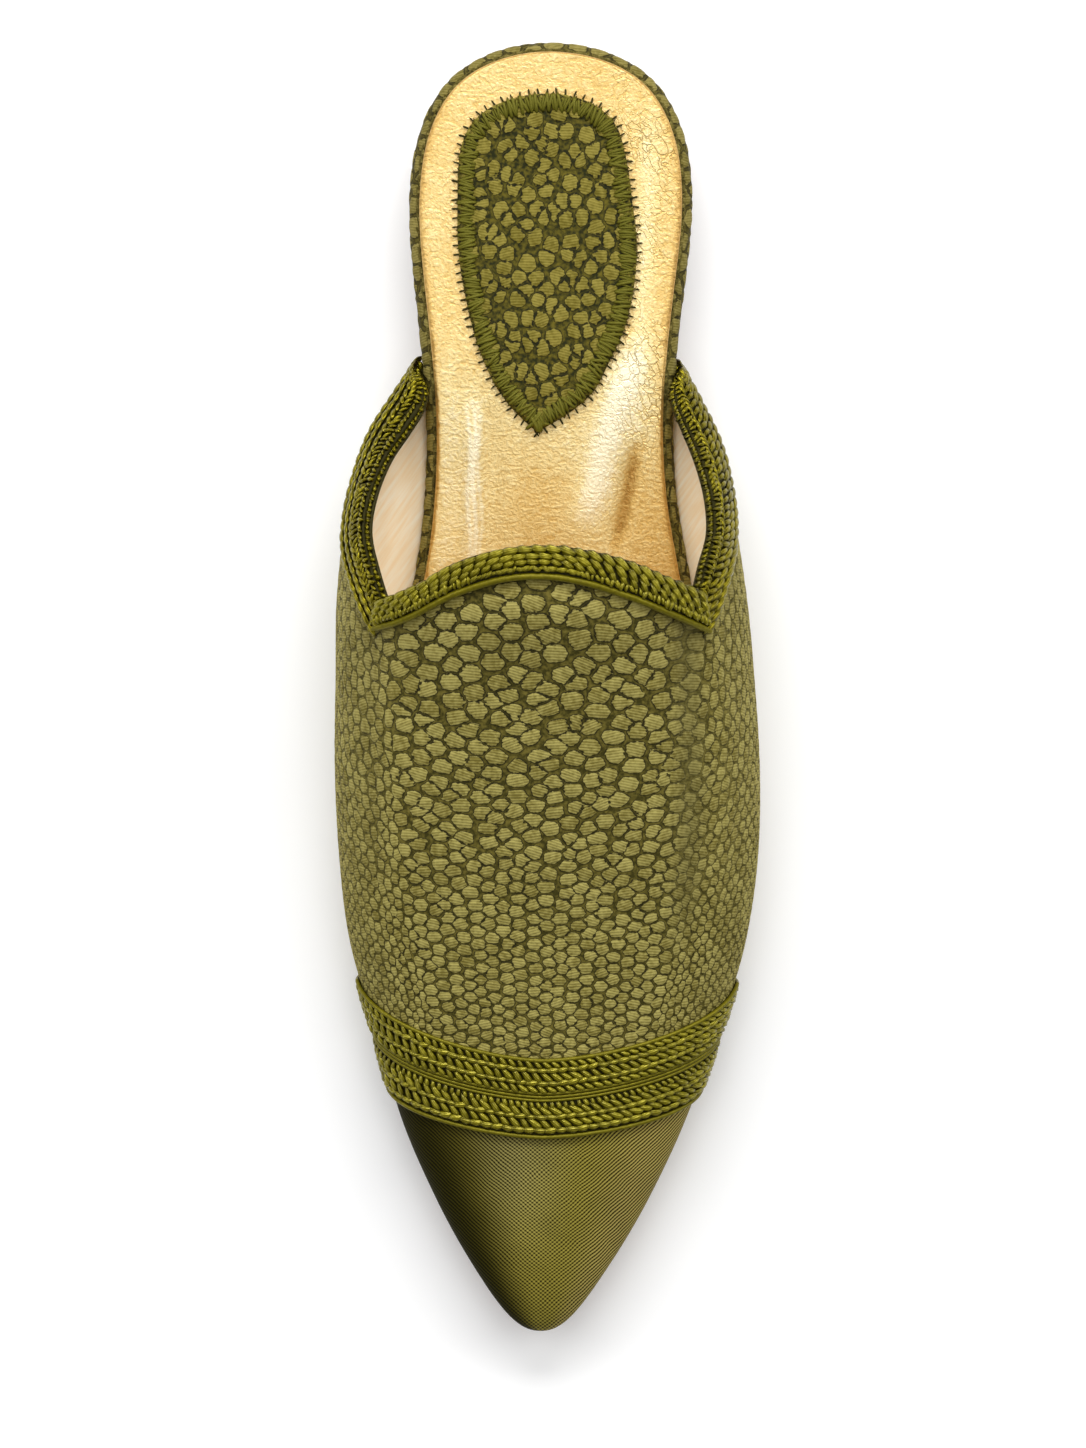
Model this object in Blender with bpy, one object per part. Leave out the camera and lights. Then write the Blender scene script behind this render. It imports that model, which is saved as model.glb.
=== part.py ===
"""A babouche: a backless slipper with a pointed toe, built from the pieces its maker joins.

Leather outsole and heel lift, a fabric-wrapped footbed, a gilt insole with a stitched heel patch,
one hollow upper, a flush toe cap, two braids across the toe and one braid round the collar.
Lengths are millimetres until a mesh is made. A station is a distance from the back of the heel.
The toe points along -Y, the heel along +Y, and +Z is up.
"""

from collections import namedtuple

import bmesh
import bpy
import numpy as np

# Driving dimensions
LENGTH = 268.5
GAP = 0.3
HEEL_RISE = 8.0
TOE_SPRING = 6.0
HEEL_BREAST = 56.0
SHANK_BACK = 60.0
TREAD_BACK = 140.0
TREAD_FRONT = 196.0
SOLE_THICKNESS = 3.5
FOOTBED_HEEL = 6.5
FOOTBED_BALL = 4.4
INSOLE_THICKNESS = 1.2
PATCH_THICKNESS = 0.8
UPPER_WALL = 1.8
QUARTER_END_WALL = 1.0
QUARTER_THIN_STATION = 84.0
TOE_FILL = 9.0
CAP_TIP = 2.0
CAP_WALL = 0.6
TOE_BRAID_THICKNESS = 0.8
COLLAR_BRAID_THICKNESS = 1.2
COLLAR_BRAID_GAP = 0.45
BRAID_END_THINNING = 0.6
CENTRE_SHIFT = -0.51
MM = 0.001

# Sections of the last, from the back of the quarters to the tip of the toe.
# Half widths at the feather edge and at the widest, then heights above the feather edge.
LastSection = namedtuple(
    "LastSection", "station feather_left feather_right width_left width_right bulge crest"
)
LAST = [
    LastSection(66, 25.2, 25.2, 26.0, 25.9, 2.4, 11.0),
    LastSection(74, 24.7, 24.9, 31.3, 30.4, 4.8, 15.0),
    LastSection(80, 24.2, 25.0, 35.2, 33.5, 7.6, 20.5),
    LastSection(86, 24.2, 25.4, 37.8, 35.8, 10.6, 28.5),
    LastSection(93, 24.5, 25.9, 39.9, 37.5, 13.2, 39.0),
    LastSection(101, 25.2, 26.9, 41.6, 39.0, 15.0, 48.5),
    LastSection(116, 28.2, 30.4, 43.2, 41.4, 16.0, 52.5),
    LastSection(132, 33.4, 34.8, 43.4, 43.1, 15.0, 47.5),
    LastSection(150, 38.0, 38.7, 43.5, 44.4, 13.5, 41.5),
    LastSection(168, 38.2, 39.6, 42.6, 44.3, 12.0, 35.5),
    LastSection(186, 36.4, 37.8, 40.4, 42.0, 10.5, 29.5),
    LastSection(205, 31.1, 32.6, 34.9, 36.5, 9.0, 23.6),
    LastSection(224, 25.8, 26.2, 29.4, 29.9, 7.5, 18.2),
    LastSection(240, 19.4, 19.6, 22.4, 22.6, 6.0, 14.0),
    LastSection(255, 12.2, 12.0, 14.0, 13.9, 4.0, 9.4),
    LastSection(LENGTH, 0.0, 0.0, 0.0, 0.0, 0.0, 0.0),
]
CREST_FULLNESS = 2.15
TURN_UNDER = np.radians(60)

# The collar: its edge and the far side of its braid, each as a station and an angle round the
# section, 0 on the crest, 90 at the widest and 180 at the feather edge. Share is the place across,
# from the crest to the feather edge, and is below zero on the left of the throat.
CollarRow = namedtuple("CollarRow", "share edge_station edge_angle trim_station trim_angle")
THROAT = [
    CollarRow(-0.40, 116.8, -48.2, 123.0, -53.0),
    CollarRow(-0.27, 113.7, -34.8, 120.6, -37.7),
    CollarRow(-0.16, 109.0, -21.6, 115.5, -21.4),
    CollarRow(-0.07, 106.6, -9.2, 112.8, -9.0),
    CollarRow(0.00, 106.0, 0.0, 112.4, 0.0),
    CollarRow(0.07, 106.8, 9.2, 113.5, 9.1),
    CollarRow(0.16, 108.8, 21.6, 116.2, 21.2),
    CollarRow(0.27, 112.1, 35.5, 119.6, 35.0),
    CollarRow(0.40, 114.4, 46.2, 122.9, 49.3),
]
LEFT_QUARTER = [
    CollarRow(0.40, 116.8, 48.2, 123.0, 53.0),
    CollarRow(0.45, 110.6, 53.5, 113.5, 65.5),
    CollarRow(0.51, 102.7, 60.2, 104.5, 78.0),
    CollarRow(0.58, 94.7, 61.0, 95.3, 83.0),
    CollarRow(0.65, 86.4, 57.2, 86.0, 85.0),
    CollarRow(0.70, 81.2, 52.6, 79.5, 86.0),
    CollarRow(0.74, 77.0, 51.0, 74.0, 87.5),
    CollarRow(0.78, 73.2, 55.0, 69.8, 90.0),
    CollarRow(0.83, 70.2, 70.0, 66.8, 93.0),
    CollarRow(0.90, 68.0, 105.0, 66.4, 130.0),
    CollarRow(1.00, 66.0, 180.0, 66.0, 180.0),
]
RIGHT_QUARTER = [
    CollarRow(0.40, 114.4, 46.2, 122.9, 49.3),
    CollarRow(0.45, 109.2, 50.3, 112.0, 62.5),
    CollarRow(0.51, 102.2, 57.4, 103.3, 74.0),
    CollarRow(0.58, 94.2, 59.6, 94.5, 82.0),
    CollarRow(0.65, 86.0, 57.6, 85.0, 85.0),
    CollarRow(0.70, 80.8, 56.2, 79.0, 86.0),
    CollarRow(0.74, 77.0, 56.0, 74.0, 87.5),
    CollarRow(0.78, 73.2, 58.5, 69.8, 90.0),
    CollarRow(0.83, 70.2, 71.0, 66.8, 93.0),
    CollarRow(0.90, 68.0, 105.0, 66.4, 130.0),
    CollarRow(1.00, 66.0, 180.0, 66.0, 180.0),
]
CORNER_SHARE = 0.40
BRAID_END_SHARE = 0.83
WIDEST_SHARE = 0.75
COLUMN_BEND = 14
TOE_CROWDING = 0.72

# Lines across the toe: station on the crest, and how far back the line runs by the widest point.
ToeLine = namedtuple("ToeLine", "crest_station sweep")
BRAID_BACK = ToeLine(210.4, 15.8)
BRAID_SPLIT = ToeLine(219.3, 12.8)
BRAID_FRONT = ToeLine(227.3, 9.6)
SWEEP_POWER = 1.5
SWEEP_BELOW = 2.0
CAP_TUCK = 4.0
CAP_CLEARANCE = 0.8
BRAID_TO_BRAID = 0.5
BRAID_LOWEST_ANGLE = 145.0

# Plan outlines: half widths at each station.
PlanRow = namedtuple("PlanRow", "station left right")
FOOTBED_PLAN = [
    PlanRow(4, 16.0, 16.5),
    PlanRow(12, 24.1, 24.7),
    PlanRow(24, 28.3, 28.9),
    PlanRow(36, 29.1, 29.5),
    PlanRow(49, 28.1, 28.3),
    PlanRow(62, 26.6, 26.9),
    PlanRow(80, 25.2, 26.0),
    PlanRow(93, 25.4, 26.8),
    PlanRow(109, 27.2, 29.6),
    PlanRow(130, 32.4, 34.0),
    PlanRow(150, 36.4, 37.0),
    PlanRow(170, 36.2, 37.4),
    PlanRow(190, 32.8, 34.0),
    PlanRow(210, 27.0, 27.6),
    PlanRow(230, 19.6, 19.8),
    PlanRow(246, 10.6, 10.6),
]
FOOTBED_ENDS = (0.0, 254.0)
OUTSOLE_PLAN = [
    PlanRow(4, 14.2, 14.6),
    PlanRow(12, 22.9, 23.5),
    PlanRow(24, 27.1, 27.5),
    PlanRow(36, 27.9, 28.0),
    PlanRow(49, 26.9, 26.9),
    PlanRow(62, 26.0, 26.2),
    PlanRow(80, 25.7, 26.5),
    PlanRow(93, 26.0, 27.4),
    PlanRow(109, 27.8, 29.8),
    PlanRow(130, 34.2, 35.6),
    PlanRow(150, 39.4, 40.1),
    PlanRow(168, 39.4, 40.8),
    PlanRow(186, 37.2, 38.6),
    PlanRow(205, 32.4, 33.6),
    PlanRow(224, 26.7, 27.1),
    PlanRow(240, 20.5, 20.6),
    PlanRow(255, 12.8, 12.7),
]
OUTSOLE_ENDS = (1.2, 266.8)
PATCH_PLAN = [
    PlanRow(16, 15.2, 12.6),
    PlanRow(22, 18.4, 15.3),
    PlanRow(32, 19.1, 17.0),
    PlanRow(43, 18.9, 18.2),
    PlanRow(52, 17.5, 17.5),
    PlanRow(60, 15.1, 16.1),
    PlanRow(68, 11.3, 13.3),
    PlanRow(75, 6.4, 9.1),
]
PATCH_ENDS = (10.9, 81.0)
PATCH_DRIFT = -2.3
PATCH_DRIFT_START = 50.0

# How an outline runs out at its two ends, as a power of the distance left.
ROUND, POINTED, BLUNT = 0.5, 1.0, 0.0

# Side profiles from bottom to top: inset from the outline, and share of the piece's thickness.
SideLevel = namedtuple("SideLevel", "inset height")
OUTSOLE_SIDE = [SideLevel(0.9, 0.0), SideLevel(0.1, 0.25), SideLevel(0.0, 0.7), SideLevel(0.5, 1.0)]
HEEL_SIDE = [SideLevel(1.6, 0.0), SideLevel(0.8, 0.12), SideLevel(0.4, 1.0)]
FOOTBED_SIDE = [
    SideLevel(4.4, 0.0),
    SideLevel(0.5, 0.55),
    SideLevel(0.0, 0.68),
    SideLevel(0.5, 0.88),
    SideLevel(1.6, 1.0),
]
INSOLE_INSET = 2.1
INSOLE_SIDE = [SideLevel(0.0, 0.0), SideLevel(0.0, 0.6), SideLevel(0.5, 1.0)]
PATCH_SIDE = [SideLevel(0.0, 0.0), SideLevel(0.1, 0.6), SideLevel(0.7, 1.0)]

# Mesh fineness
VAMP_ROWS = 20
THROAT_COLUMNS = 8
QUARTER_COLUMNS = 15
FEATHER_COLUMNS = 4
QUARTER_END_SHARE = 0.9
CAP_ROWS = 9
CAP_COLUMNS = 33
BRAID_ROWS = 2
TOE_BRAID_COLUMNS = 31
COLLAR_COLUMNS_EACH_PART = 17
SOLE_STATIONS = 36
PATCH_STATIONS = 18
HEEL_STATIONS = 14

MATERIALS = {
    "sole_leather": ("8A6240", 0.6, 0.0),
    "heel_leather": ("5C3F28", 0.55, 0.0),
    "scale_fabric": ("736A37", 0.75, 0.0),
    "gilt_leather": ("E4C67C", 0.32, 0.85),
    "patch_fabric": ("6B612C", 0.8, 0.0),
    "toe_satin": ("6C642F", 0.45, 0.0),
    "braid_silk": ("625C1A", 0.45, 0.0),
}


def curve(keys, values, at):
    """A cubic through a table's values, each row's slope taken from its neighbours."""
    keys = np.asarray(keys, float)
    values = np.asarray(values, float)
    slopes = np.gradient(values, keys)
    i = np.clip(np.searchsorted(keys, at) - 1, 0, len(keys) - 2)
    span = keys[i + 1] - keys[i]
    t = (at - keys[i]) / span
    start = (1 + 2 * t) * (1 - t) ** 2 * values[i] + t * (1 - t) ** 2 * span * slopes[i]
    finish = t**2 * (3 - 2 * t) * values[i + 1] - t**2 * (1 - t) * span * slopes[i + 1]
    return start + finish


def column(rows, name):
    return np.array([getattr(row, name) for row in rows], float)


def smooth(share):
    share = np.clip(share, 0, 1)
    return share**2 * (3 - 2 * share)


def tread_height(station):
    """Underside of the outsole: level under the heel and the ball, arched between, sprung at the toe."""
    shank = HEEL_RISE * smooth((TREAD_BACK - station) / (TREAD_BACK - SHANK_BACK))
    spring = np.clip((station - TREAD_FRONT) / (LENGTH - TREAD_FRONT), 0, None)
    return shank + TOE_SPRING * spring**2


def footbed_base(station):
    return tread_height(station) + SOLE_THICKNESS + GAP


def footbed_thickness(station):
    share = smooth((TREAD_BACK - station) / (TREAD_BACK - HEEL_BREAST))
    return FOOTBED_BALL + (FOOTBED_HEEL - FOOTBED_BALL) * share


def insole_base(station):
    return footbed_base(station) + footbed_thickness(station) + GAP


def patch_base(station):
    return insole_base(station) + INSOLE_THICKNESS + GAP


# The upper's own surface, on which every piece of the upper is cut.
# Root is the square root of the distance left to the toe, so that the toe runs out round.
LAST_ROOTS = np.sqrt(LENGTH - column(LAST, "station"))[::-1]


def last_value(name, root):
    return curve(LAST_ROOTS, column(LAST, name)[::-1], root)


def last_point(root, angle):
    """A point of the last's surface. Angles below zero lie on the left."""
    station = LENGTH - root**2
    left = angle < 0
    width = np.where(left, last_value("width_left", root), last_value("width_right", root))
    feather = np.where(left, last_value("feather_left", root), last_value("feather_right", root))
    bulge = last_value("bulge", root)
    crest = last_value("crest", root)
    over = np.radians(np.clip(np.abs(angle), 0, 90))
    under = TURN_UNDER * np.clip(np.abs(angle) / 90 - 1, 0, 1)
    power = 2 / CREST_FULLNESS
    reach_over = width * np.sin(over) ** power
    reach_under = width - (width - feather) * (1 - np.cos(under)) / (1 - np.cos(TURN_UNDER))
    height_over = bulge + (crest - bulge) * np.cos(over) ** power
    height_under = bulge * (1 - np.sin(under) / np.sin(TURN_UNDER))
    above = np.abs(angle) <= 90
    reach = np.where(above, reach_over, reach_under)
    height = np.where(above, height_over, height_under)
    x = np.where(left, -reach, reach)
    return np.stack([x, LENGTH / 2 - station, footbed_base(station) + height], axis=-1)


def last_normal(root, angle):
    """Outward direction of the last's surface, straight ahead at the tip of the toe."""
    root_step, angle_step = 1e-3, 0.05
    root = np.maximum(root, 2 * root_step)
    along = last_point(root + root_step, angle) - last_point(root - root_step, angle)
    round_it = last_point(root, angle + angle_step) - last_point(root, angle - angle_step)
    normal = np.cross(round_it, along)
    return normal / np.linalg.norm(normal, axis=-1, keepdims=True)


def lifted(root, angle, lift):
    """The last's surface, moved outwards by lift."""
    lift = np.broadcast_to(lift, root.shape)
    points = last_point(root, angle) + last_normal(root, angle) * lift[..., None]
    tip = last_point(np.zeros_like(root), angle) - np.stack([0 * lift, lift, 0 * lift], axis=-1)
    return np.where((root < 1e-6)[..., None], tip, points)


def blunt_lifted(root, angle, lift, blunt):
    """The last's surface moved by lift, with the tip of the toe cut off flat over the length blunt."""
    cut = np.sqrt(blunt)
    ring = lifted(np.maximum(root, cut), angle, lift)
    centre = ring[0].mean(axis=0)
    return centre + (ring - centre) * np.minimum(root / cut, 1)[..., None]


def collar_line(share, station_name, angle_name):
    """Station and signed angle of a line along the collar, with a sharp corner on each side."""

    def follow(name, left_sign):
        front = np.clip(share, -CORNER_SHARE, CORNER_SHARE)
        over = curve(column(THROAT, "share"), column(THROAT, name), front)
        back = np.maximum(np.abs(share), CORNER_SHARE)
        left = left_sign * curve(column(LEFT_QUARTER, "share"), column(LEFT_QUARTER, name), back)
        right = curve(column(RIGHT_QUARTER, "share"), column(RIGHT_QUARTER, name), back)
        return np.where(np.abs(share) <= CORNER_SHARE, over, np.where(share < 0, left, right))

    return follow(station_name, 1), follow(angle_name, -1)


def toe_line_station(line, angle):
    over = np.clip(np.abs(angle) / 90, 0, 1)
    under = np.clip(np.abs(angle) / 90 - 1, 0, 1)
    return line.crest_station - line.sweep * over**SWEEP_POWER - SWEEP_BELOW * under


def new_object(name, mesh_maker, material_name):
    """One named object with its own material, its faces pointing out and its round sides smooth."""
    bm = bmesh.new()
    mesh_maker(bm)
    bmesh.ops.remove_doubles(bm, verts=bm.verts, dist=1e-6)
    bmesh.ops.recalc_face_normals(bm, faces=bm.faces)
    if bm.calc_volume(signed=True) < 0:
        bmesh.ops.reverse_faces(bm, faces=bm.faces)
    mesh = bpy.data.meshes.new(name)
    bm.to_mesh(mesh)
    bm.free()
    mesh.shade_smooth()
    mesh.set_sharp_from_angle(angle=np.radians(40))
    mesh.materials.append(plain_material(material_name))
    made = bpy.data.objects.new(name, mesh)
    bpy.context.scene.collection.objects.link(made)
    return made


def plain_material(name):
    found = bpy.data.materials.get(name)
    if found:
        return found
    colour, roughness, metallic = MATERIALS[name]
    made = bpy.data.materials.new(name)
    made.use_nodes = True
    shader = made.node_tree.nodes["Principled BSDF"]
    channels = [int(colour[i : i + 2], 16) / 255 for i in (0, 2, 4)]
    shader.inputs["Base Color"].default_value = [c**2.2 for c in channels] + [1.0]
    shader.inputs["Roughness"].default_value = roughness
    shader.inputs["Metallic"].default_value = metallic
    return made


def corner(bm, point):
    return bm.verts.new(((point[0] + CENTRE_SHIFT) * MM, point[1] * MM, point[2] * MM))


def shell(name, inside, outside, material_name, ends_in_tip=False):
    """A closed wall between two grids of points, which meet the tip of the toe in their first row."""

    def fill(bm):
        sides = [[[corner(bm, p) for p in row] for row in points] for points in (inside, outside)]
        rows, columns = inside.shape[:2]
        for side in sides:
            for r in range(rows - 1):
                for c in range(columns - 1):
                    bm.faces.new((side[r][c], side[r][c + 1], side[r + 1][c + 1], side[r + 1][c]))
        rims = [[(r, c) for r in range(rows)] for c in (0, columns - 1)]
        rims += [[(r, c) for c in range(columns)] for r in (0, rows - 1)][ends_in_tip:]
        for rim in rims:
            for (r0, c0), (r1, c1) in zip(rim, rim[1:]):
                bm.faces.new((sides[0][r0][c0], sides[0][r1][c1], sides[1][r1][c1], sides[1][r0][c0]))

    return new_object(name, fill, material_name)


def even(thickness):
    return lambda station: np.full_like(station, thickness)


def slab(name, plan, ends, runs_out, side, inset, base, thickness, stations, material_name,
         sideways=even(0.0)):
    """A closed slab over a plan outline, its side following a profile and its faces the sole's curve."""
    start, end = ends
    turn = np.linspace(0, np.pi, stations)
    if runs_out[1] == BLUNT:
        turn = turn / 2
        place = start + (end - start) * (1 - np.cos(turn))
    else:
        place = start + (end - start) * (1 - np.cos(turn)) / 2

    def half_width(name):
        known = column(plan, "station")
        taper = (known - start) ** runs_out[0] * (end - known) ** runs_out[1]
        fullness = curve(known, column(plan, name) / taper, place)
        return fullness * (place - start) ** runs_out[0] * (end - place) ** runs_out[1]

    def inset_edge(reach, sign, depth):
        edge = np.stack([sign * reach + sideways(place), place], axis=-1)
        run = np.gradient(edge, axis=0)
        outward = np.stack([sign * run[:, 1], -sign * run[:, 0]], axis=-1)
        outward /= np.linalg.norm(outward, axis=1, keepdims=True)
        outward[0] = (0, -1)
        outward[-1] = (sign, 0) if runs_out[1] == BLUNT else (0, 1)
        return edge - outward * depth

    def fill(bm):
        loops = []
        for level in side:
            depth = inset + level.inset
            left = inset_edge(half_width("left"), -1, depth)
            right = inset_edge(half_width("right"), 1, depth)
            loop = np.concatenate([left, right[::-1]])
            height = base(loop[:, 1]) + level.height * thickness(loop[:, 1])
            loops.append([corner(bm, (x, LENGTH / 2 - s, z)) for (x, s), z in zip(loop, height)])
        count = len(loops[0])
        for below, over in zip(loops, loops[1:]):
            for i in range(count):
                j = (i + 1) % count
                bm.faces.new((below[i], below[j], over[j], over[i]))
        for loop in (loops[0], loops[-1]):
            for i in range(stations - 1):
                bm.faces.new((loop[i], loop[i + 1], loop[count - 2 - i], loop[count - 1 - i]))

    return new_object(name, fill, material_name)


def make_outsole():
    return slab("outsole", OUTSOLE_PLAN, OUTSOLE_ENDS, (ROUND, ROUND), OUTSOLE_SIDE, 0.0,
                tread_height, even(SOLE_THICKNESS), SOLE_STATIONS, "sole_leather")


def make_heel_lift():
    return slab("heel_lift", OUTSOLE_PLAN, (OUTSOLE_ENDS[0], HEEL_BREAST), (ROUND, BLUNT), HEEL_SIDE, 0.0,
                even(0.0), even(HEEL_RISE - GAP), HEEL_STATIONS, "heel_leather")


def make_footbed():
    return slab("footbed", FOOTBED_PLAN, FOOTBED_ENDS, (ROUND, ROUND), FOOTBED_SIDE, 0.0,
                footbed_base, footbed_thickness, SOLE_STATIONS, "scale_fabric")


def make_insole():
    return slab("insole", FOOTBED_PLAN, FOOTBED_ENDS, (ROUND, ROUND), INSOLE_SIDE, INSOLE_INSET,
                insole_base, even(INSOLE_THICKNESS), SOLE_STATIONS, "gilt_leather")


def patch_drift(station):
    """The patch's point lies left of the middle."""
    return PATCH_DRIFT * smooth((station - PATCH_DRIFT_START) / (PATCH_ENDS[1] - PATCH_DRIFT_START))


def make_heel_patch():
    return slab("heel_patch", PATCH_PLAN, PATCH_ENDS, (ROUND, POINTED), PATCH_SIDE, 0.0,
                patch_base, even(PATCH_THICKNESS), PATCH_STATIONS, "patch_fabric", patch_drift)


def upper_grid():
    """Roots and angles of the whole upper: columns fan from the toe's tip and end on the collar."""
    throat = np.linspace(0, CORNER_SHARE, THROAT_COLUMNS)
    quarter = np.linspace(CORNER_SHARE, QUARTER_END_SHARE, QUARTER_COLUMNS)
    feather = np.linspace(QUARTER_END_SHARE, 1, FEATHER_COLUMNS)
    half = np.concatenate([throat, quarter[1:], feather[1:]])
    share = np.concatenate([-half[:0:-1], half])
    station, edge_angle = collar_line(share, "edge_station", "edge_angle")
    place = np.abs(share)
    below = (np.maximum(place, WIDEST_SHARE) - WIDEST_SHARE) / (1 - WIDEST_SHARE)
    toe_angle = 90 * (np.minimum(place, WIDEST_SHARE) / WIDEST_SHARE + below) * np.sign(share)
    recess = np.sqrt(LENGTH - toe_line_station(BRAID_FRONT, toe_angle) + CAP_TUCK + CAP_CLEARANCE)
    step = np.sqrt(recess**2 + CAP_CLEARANCE)
    edge = np.sqrt(LENGTH - station)
    toe_way = np.linspace(0, 1, CAP_ROWS + 1)[:, None]
    vamp_way = np.linspace(0, 1, VAMP_ROWS + 1)[:, None] ** TOE_CROWDING
    root = np.concatenate([recess * toe_way, step + (edge - step) * vamp_way])
    angle = toe_angle + (edge_angle - toe_angle) * (root / edge) ** COLUMN_BEND
    return root, angle


def make_upper():
    """The hollow upper, its wall recessed under the toe cap so that the cap lies flush."""
    root, angle = upper_grid()
    outer = np.zeros_like(root)
    outer[: CAP_ROWS + 1] = -CAP_WALL - GAP
    back = LAST[0].station
    from_end = smooth((LENGTH - root**2 - back) / (QUARTER_THIN_STATION - back))
    wall = QUARTER_END_WALL + (UPPER_WALL - QUARTER_END_WALL) * from_end
    inside = blunt_lifted(root, angle, -wall, TOE_FILL)
    outside = blunt_lifted(root, angle, outer, CAP_TIP)
    return shell("upper", inside, outside, "scale_fabric", ends_in_tip=True)


def make_toe_cap():
    across = np.linspace(-180, 180, CAP_COLUMNS)[None, :]
    way = np.linspace(0, 1, CAP_ROWS + 1)[:, None]
    root = np.sqrt(LENGTH - toe_line_station(BRAID_FRONT, across) + CAP_TUCK) * way
    angle = np.broadcast_to(across, root.shape)
    inside = lifted(root, angle, -CAP_WALL)
    return shell("toe_cap", inside, lifted(root, angle, 0.0), "toe_satin", ends_in_tip=True)


def make_toe_braid(name, back, front, trim_back, trim_front):
    across = np.linspace(-BRAID_LOWEST_ANGLE, BRAID_LOWEST_ANGLE, TOE_BRAID_COLUMNS)[None, :]
    way = np.linspace(0, 1, BRAID_ROWS + 1)[:, None]
    first = toe_line_station(back, across) + trim_back
    last = toe_line_station(front, across) - trim_front
    root = np.sqrt(LENGTH - (first + (last - first) * way))
    angle = np.broadcast_to(across, root.shape)
    inside = lifted(root, angle, GAP)
    return shell(name, inside, lifted(root, angle, GAP + TOE_BRAID_THICKNESS), "braid_silk")


def make_collar_braid():
    throat = np.linspace(0, CORNER_SHARE, COLLAR_COLUMNS_EACH_PART)
    quarter = np.linspace(CORNER_SHARE, BRAID_END_SHARE, COLLAR_COLUMNS_EACH_PART)
    half = np.concatenate([throat, quarter[1:]])
    share = np.concatenate([-half[:0:-1], half])
    edge_station, edge_angle = collar_line(share, "edge_station", "edge_angle")
    trim_station, trim_angle = collar_line(share, "trim_station", "trim_angle")
    way = np.linspace(0, 1, BRAID_ROWS + 1)[:, None]
    root = np.sqrt(LENGTH - (edge_station + (trim_station - edge_station) * way))
    angle = edge_angle + (trim_angle - edge_angle) * way
    end = smooth((np.abs(share) - WIDEST_SHARE) / (BRAID_END_SHARE - WIDEST_SHARE))
    thickness = COLLAR_BRAID_THICKNESS * (1 - BRAID_END_THINNING * end)
    inside = lifted(root, angle, COLLAR_BRAID_GAP)
    outside = lifted(root, angle, COLLAR_BRAID_GAP + thickness)
    return shell("collar_braid", inside, outside, "braid_silk")


def main():
    for old in list(bpy.data.objects):
        bpy.data.objects.remove(old)
    shoe = bpy.data.objects.new("babouche", None)
    bpy.context.scene.collection.objects.link(shoe)
    pieces = [
        make_outsole(),
        make_heel_lift(),
        make_footbed(),
        make_insole(),
        make_heel_patch(),
        make_upper(),
        make_toe_cap(),
        make_toe_braid("toe_braid_back", BRAID_BACK, BRAID_SPLIT, 0.0, BRAID_TO_BRAID),
        make_toe_braid("toe_braid_front", BRAID_SPLIT, BRAID_FRONT, 0.0, 0.0),
        make_collar_braid(),
    ]
    for piece in pieces:
        piece.parent = shoe


main()
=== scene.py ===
"""Looks of a babouche: scale-patterned fabric, plaited braids, satin toe, gilt insole, leather sole.

Lengths are millimetres until a mesh is made, when they become metres. A station is a distance from
the back of the heel. The toe points along -Y, the heel along +Y, and +Z is up.
"""

import math
from collections import namedtuple
from functools import partial

import bmesh
import bpy
import numpy as np
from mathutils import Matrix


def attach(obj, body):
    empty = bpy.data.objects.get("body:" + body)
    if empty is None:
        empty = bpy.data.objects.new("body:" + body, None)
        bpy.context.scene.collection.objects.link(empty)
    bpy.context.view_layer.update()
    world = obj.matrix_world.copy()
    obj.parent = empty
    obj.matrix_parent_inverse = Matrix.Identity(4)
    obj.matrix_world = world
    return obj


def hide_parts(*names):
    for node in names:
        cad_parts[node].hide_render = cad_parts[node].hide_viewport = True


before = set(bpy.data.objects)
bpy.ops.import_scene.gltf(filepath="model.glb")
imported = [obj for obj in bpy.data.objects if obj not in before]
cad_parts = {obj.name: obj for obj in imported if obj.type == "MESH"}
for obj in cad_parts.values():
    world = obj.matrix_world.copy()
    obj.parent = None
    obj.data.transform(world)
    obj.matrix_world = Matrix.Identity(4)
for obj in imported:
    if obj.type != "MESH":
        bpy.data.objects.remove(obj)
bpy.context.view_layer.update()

MM = 0.001


def table(fields, *rows):
    """Rows of numbers whose columns have names."""
    row = namedtuple("Row", fields)
    return [row(*values) for values in rows]


# Camera, from the photograph's frame
IMAGE_WIDTH = 1086
IMAGE_HEIGHT = 1448
CAMERA_HEIGHT = 1200.0
CAMERA_X = -1.01
CAMERA_Y = -7.35
CAMERA_ROLL = math.radians(0.4675)
MM_PER_PIXEL = 0.2082
PIXEL_LEVEL = 15.0
SENSOR = 36.0

# The studio, in metres
FLOOR_REACH = 2.5
SKY_STRENGTH = 0.24
LIGHTS = table(
    "name place target size watts",
    ("overhead_panel", (0.0, 0.2, 1.9), (0.0, 0.0, 0.0), (1.6, 1.4), 10.5),
    ("rear_panel", (0.0, 1.35, 1.25), (0.0, 0.0, 0.0), (1.6, 0.6), 25),
    ("right_fill", (1.1, 0.55, 0.75), (0.0, 0.0, 0.02), (0.8, 0.6), 5.5),
    ("left_fill", (-1.1, 0.55, 0.75), (0.0, 0.0, 0.02), (0.8, 0.6), 5),
)

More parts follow.
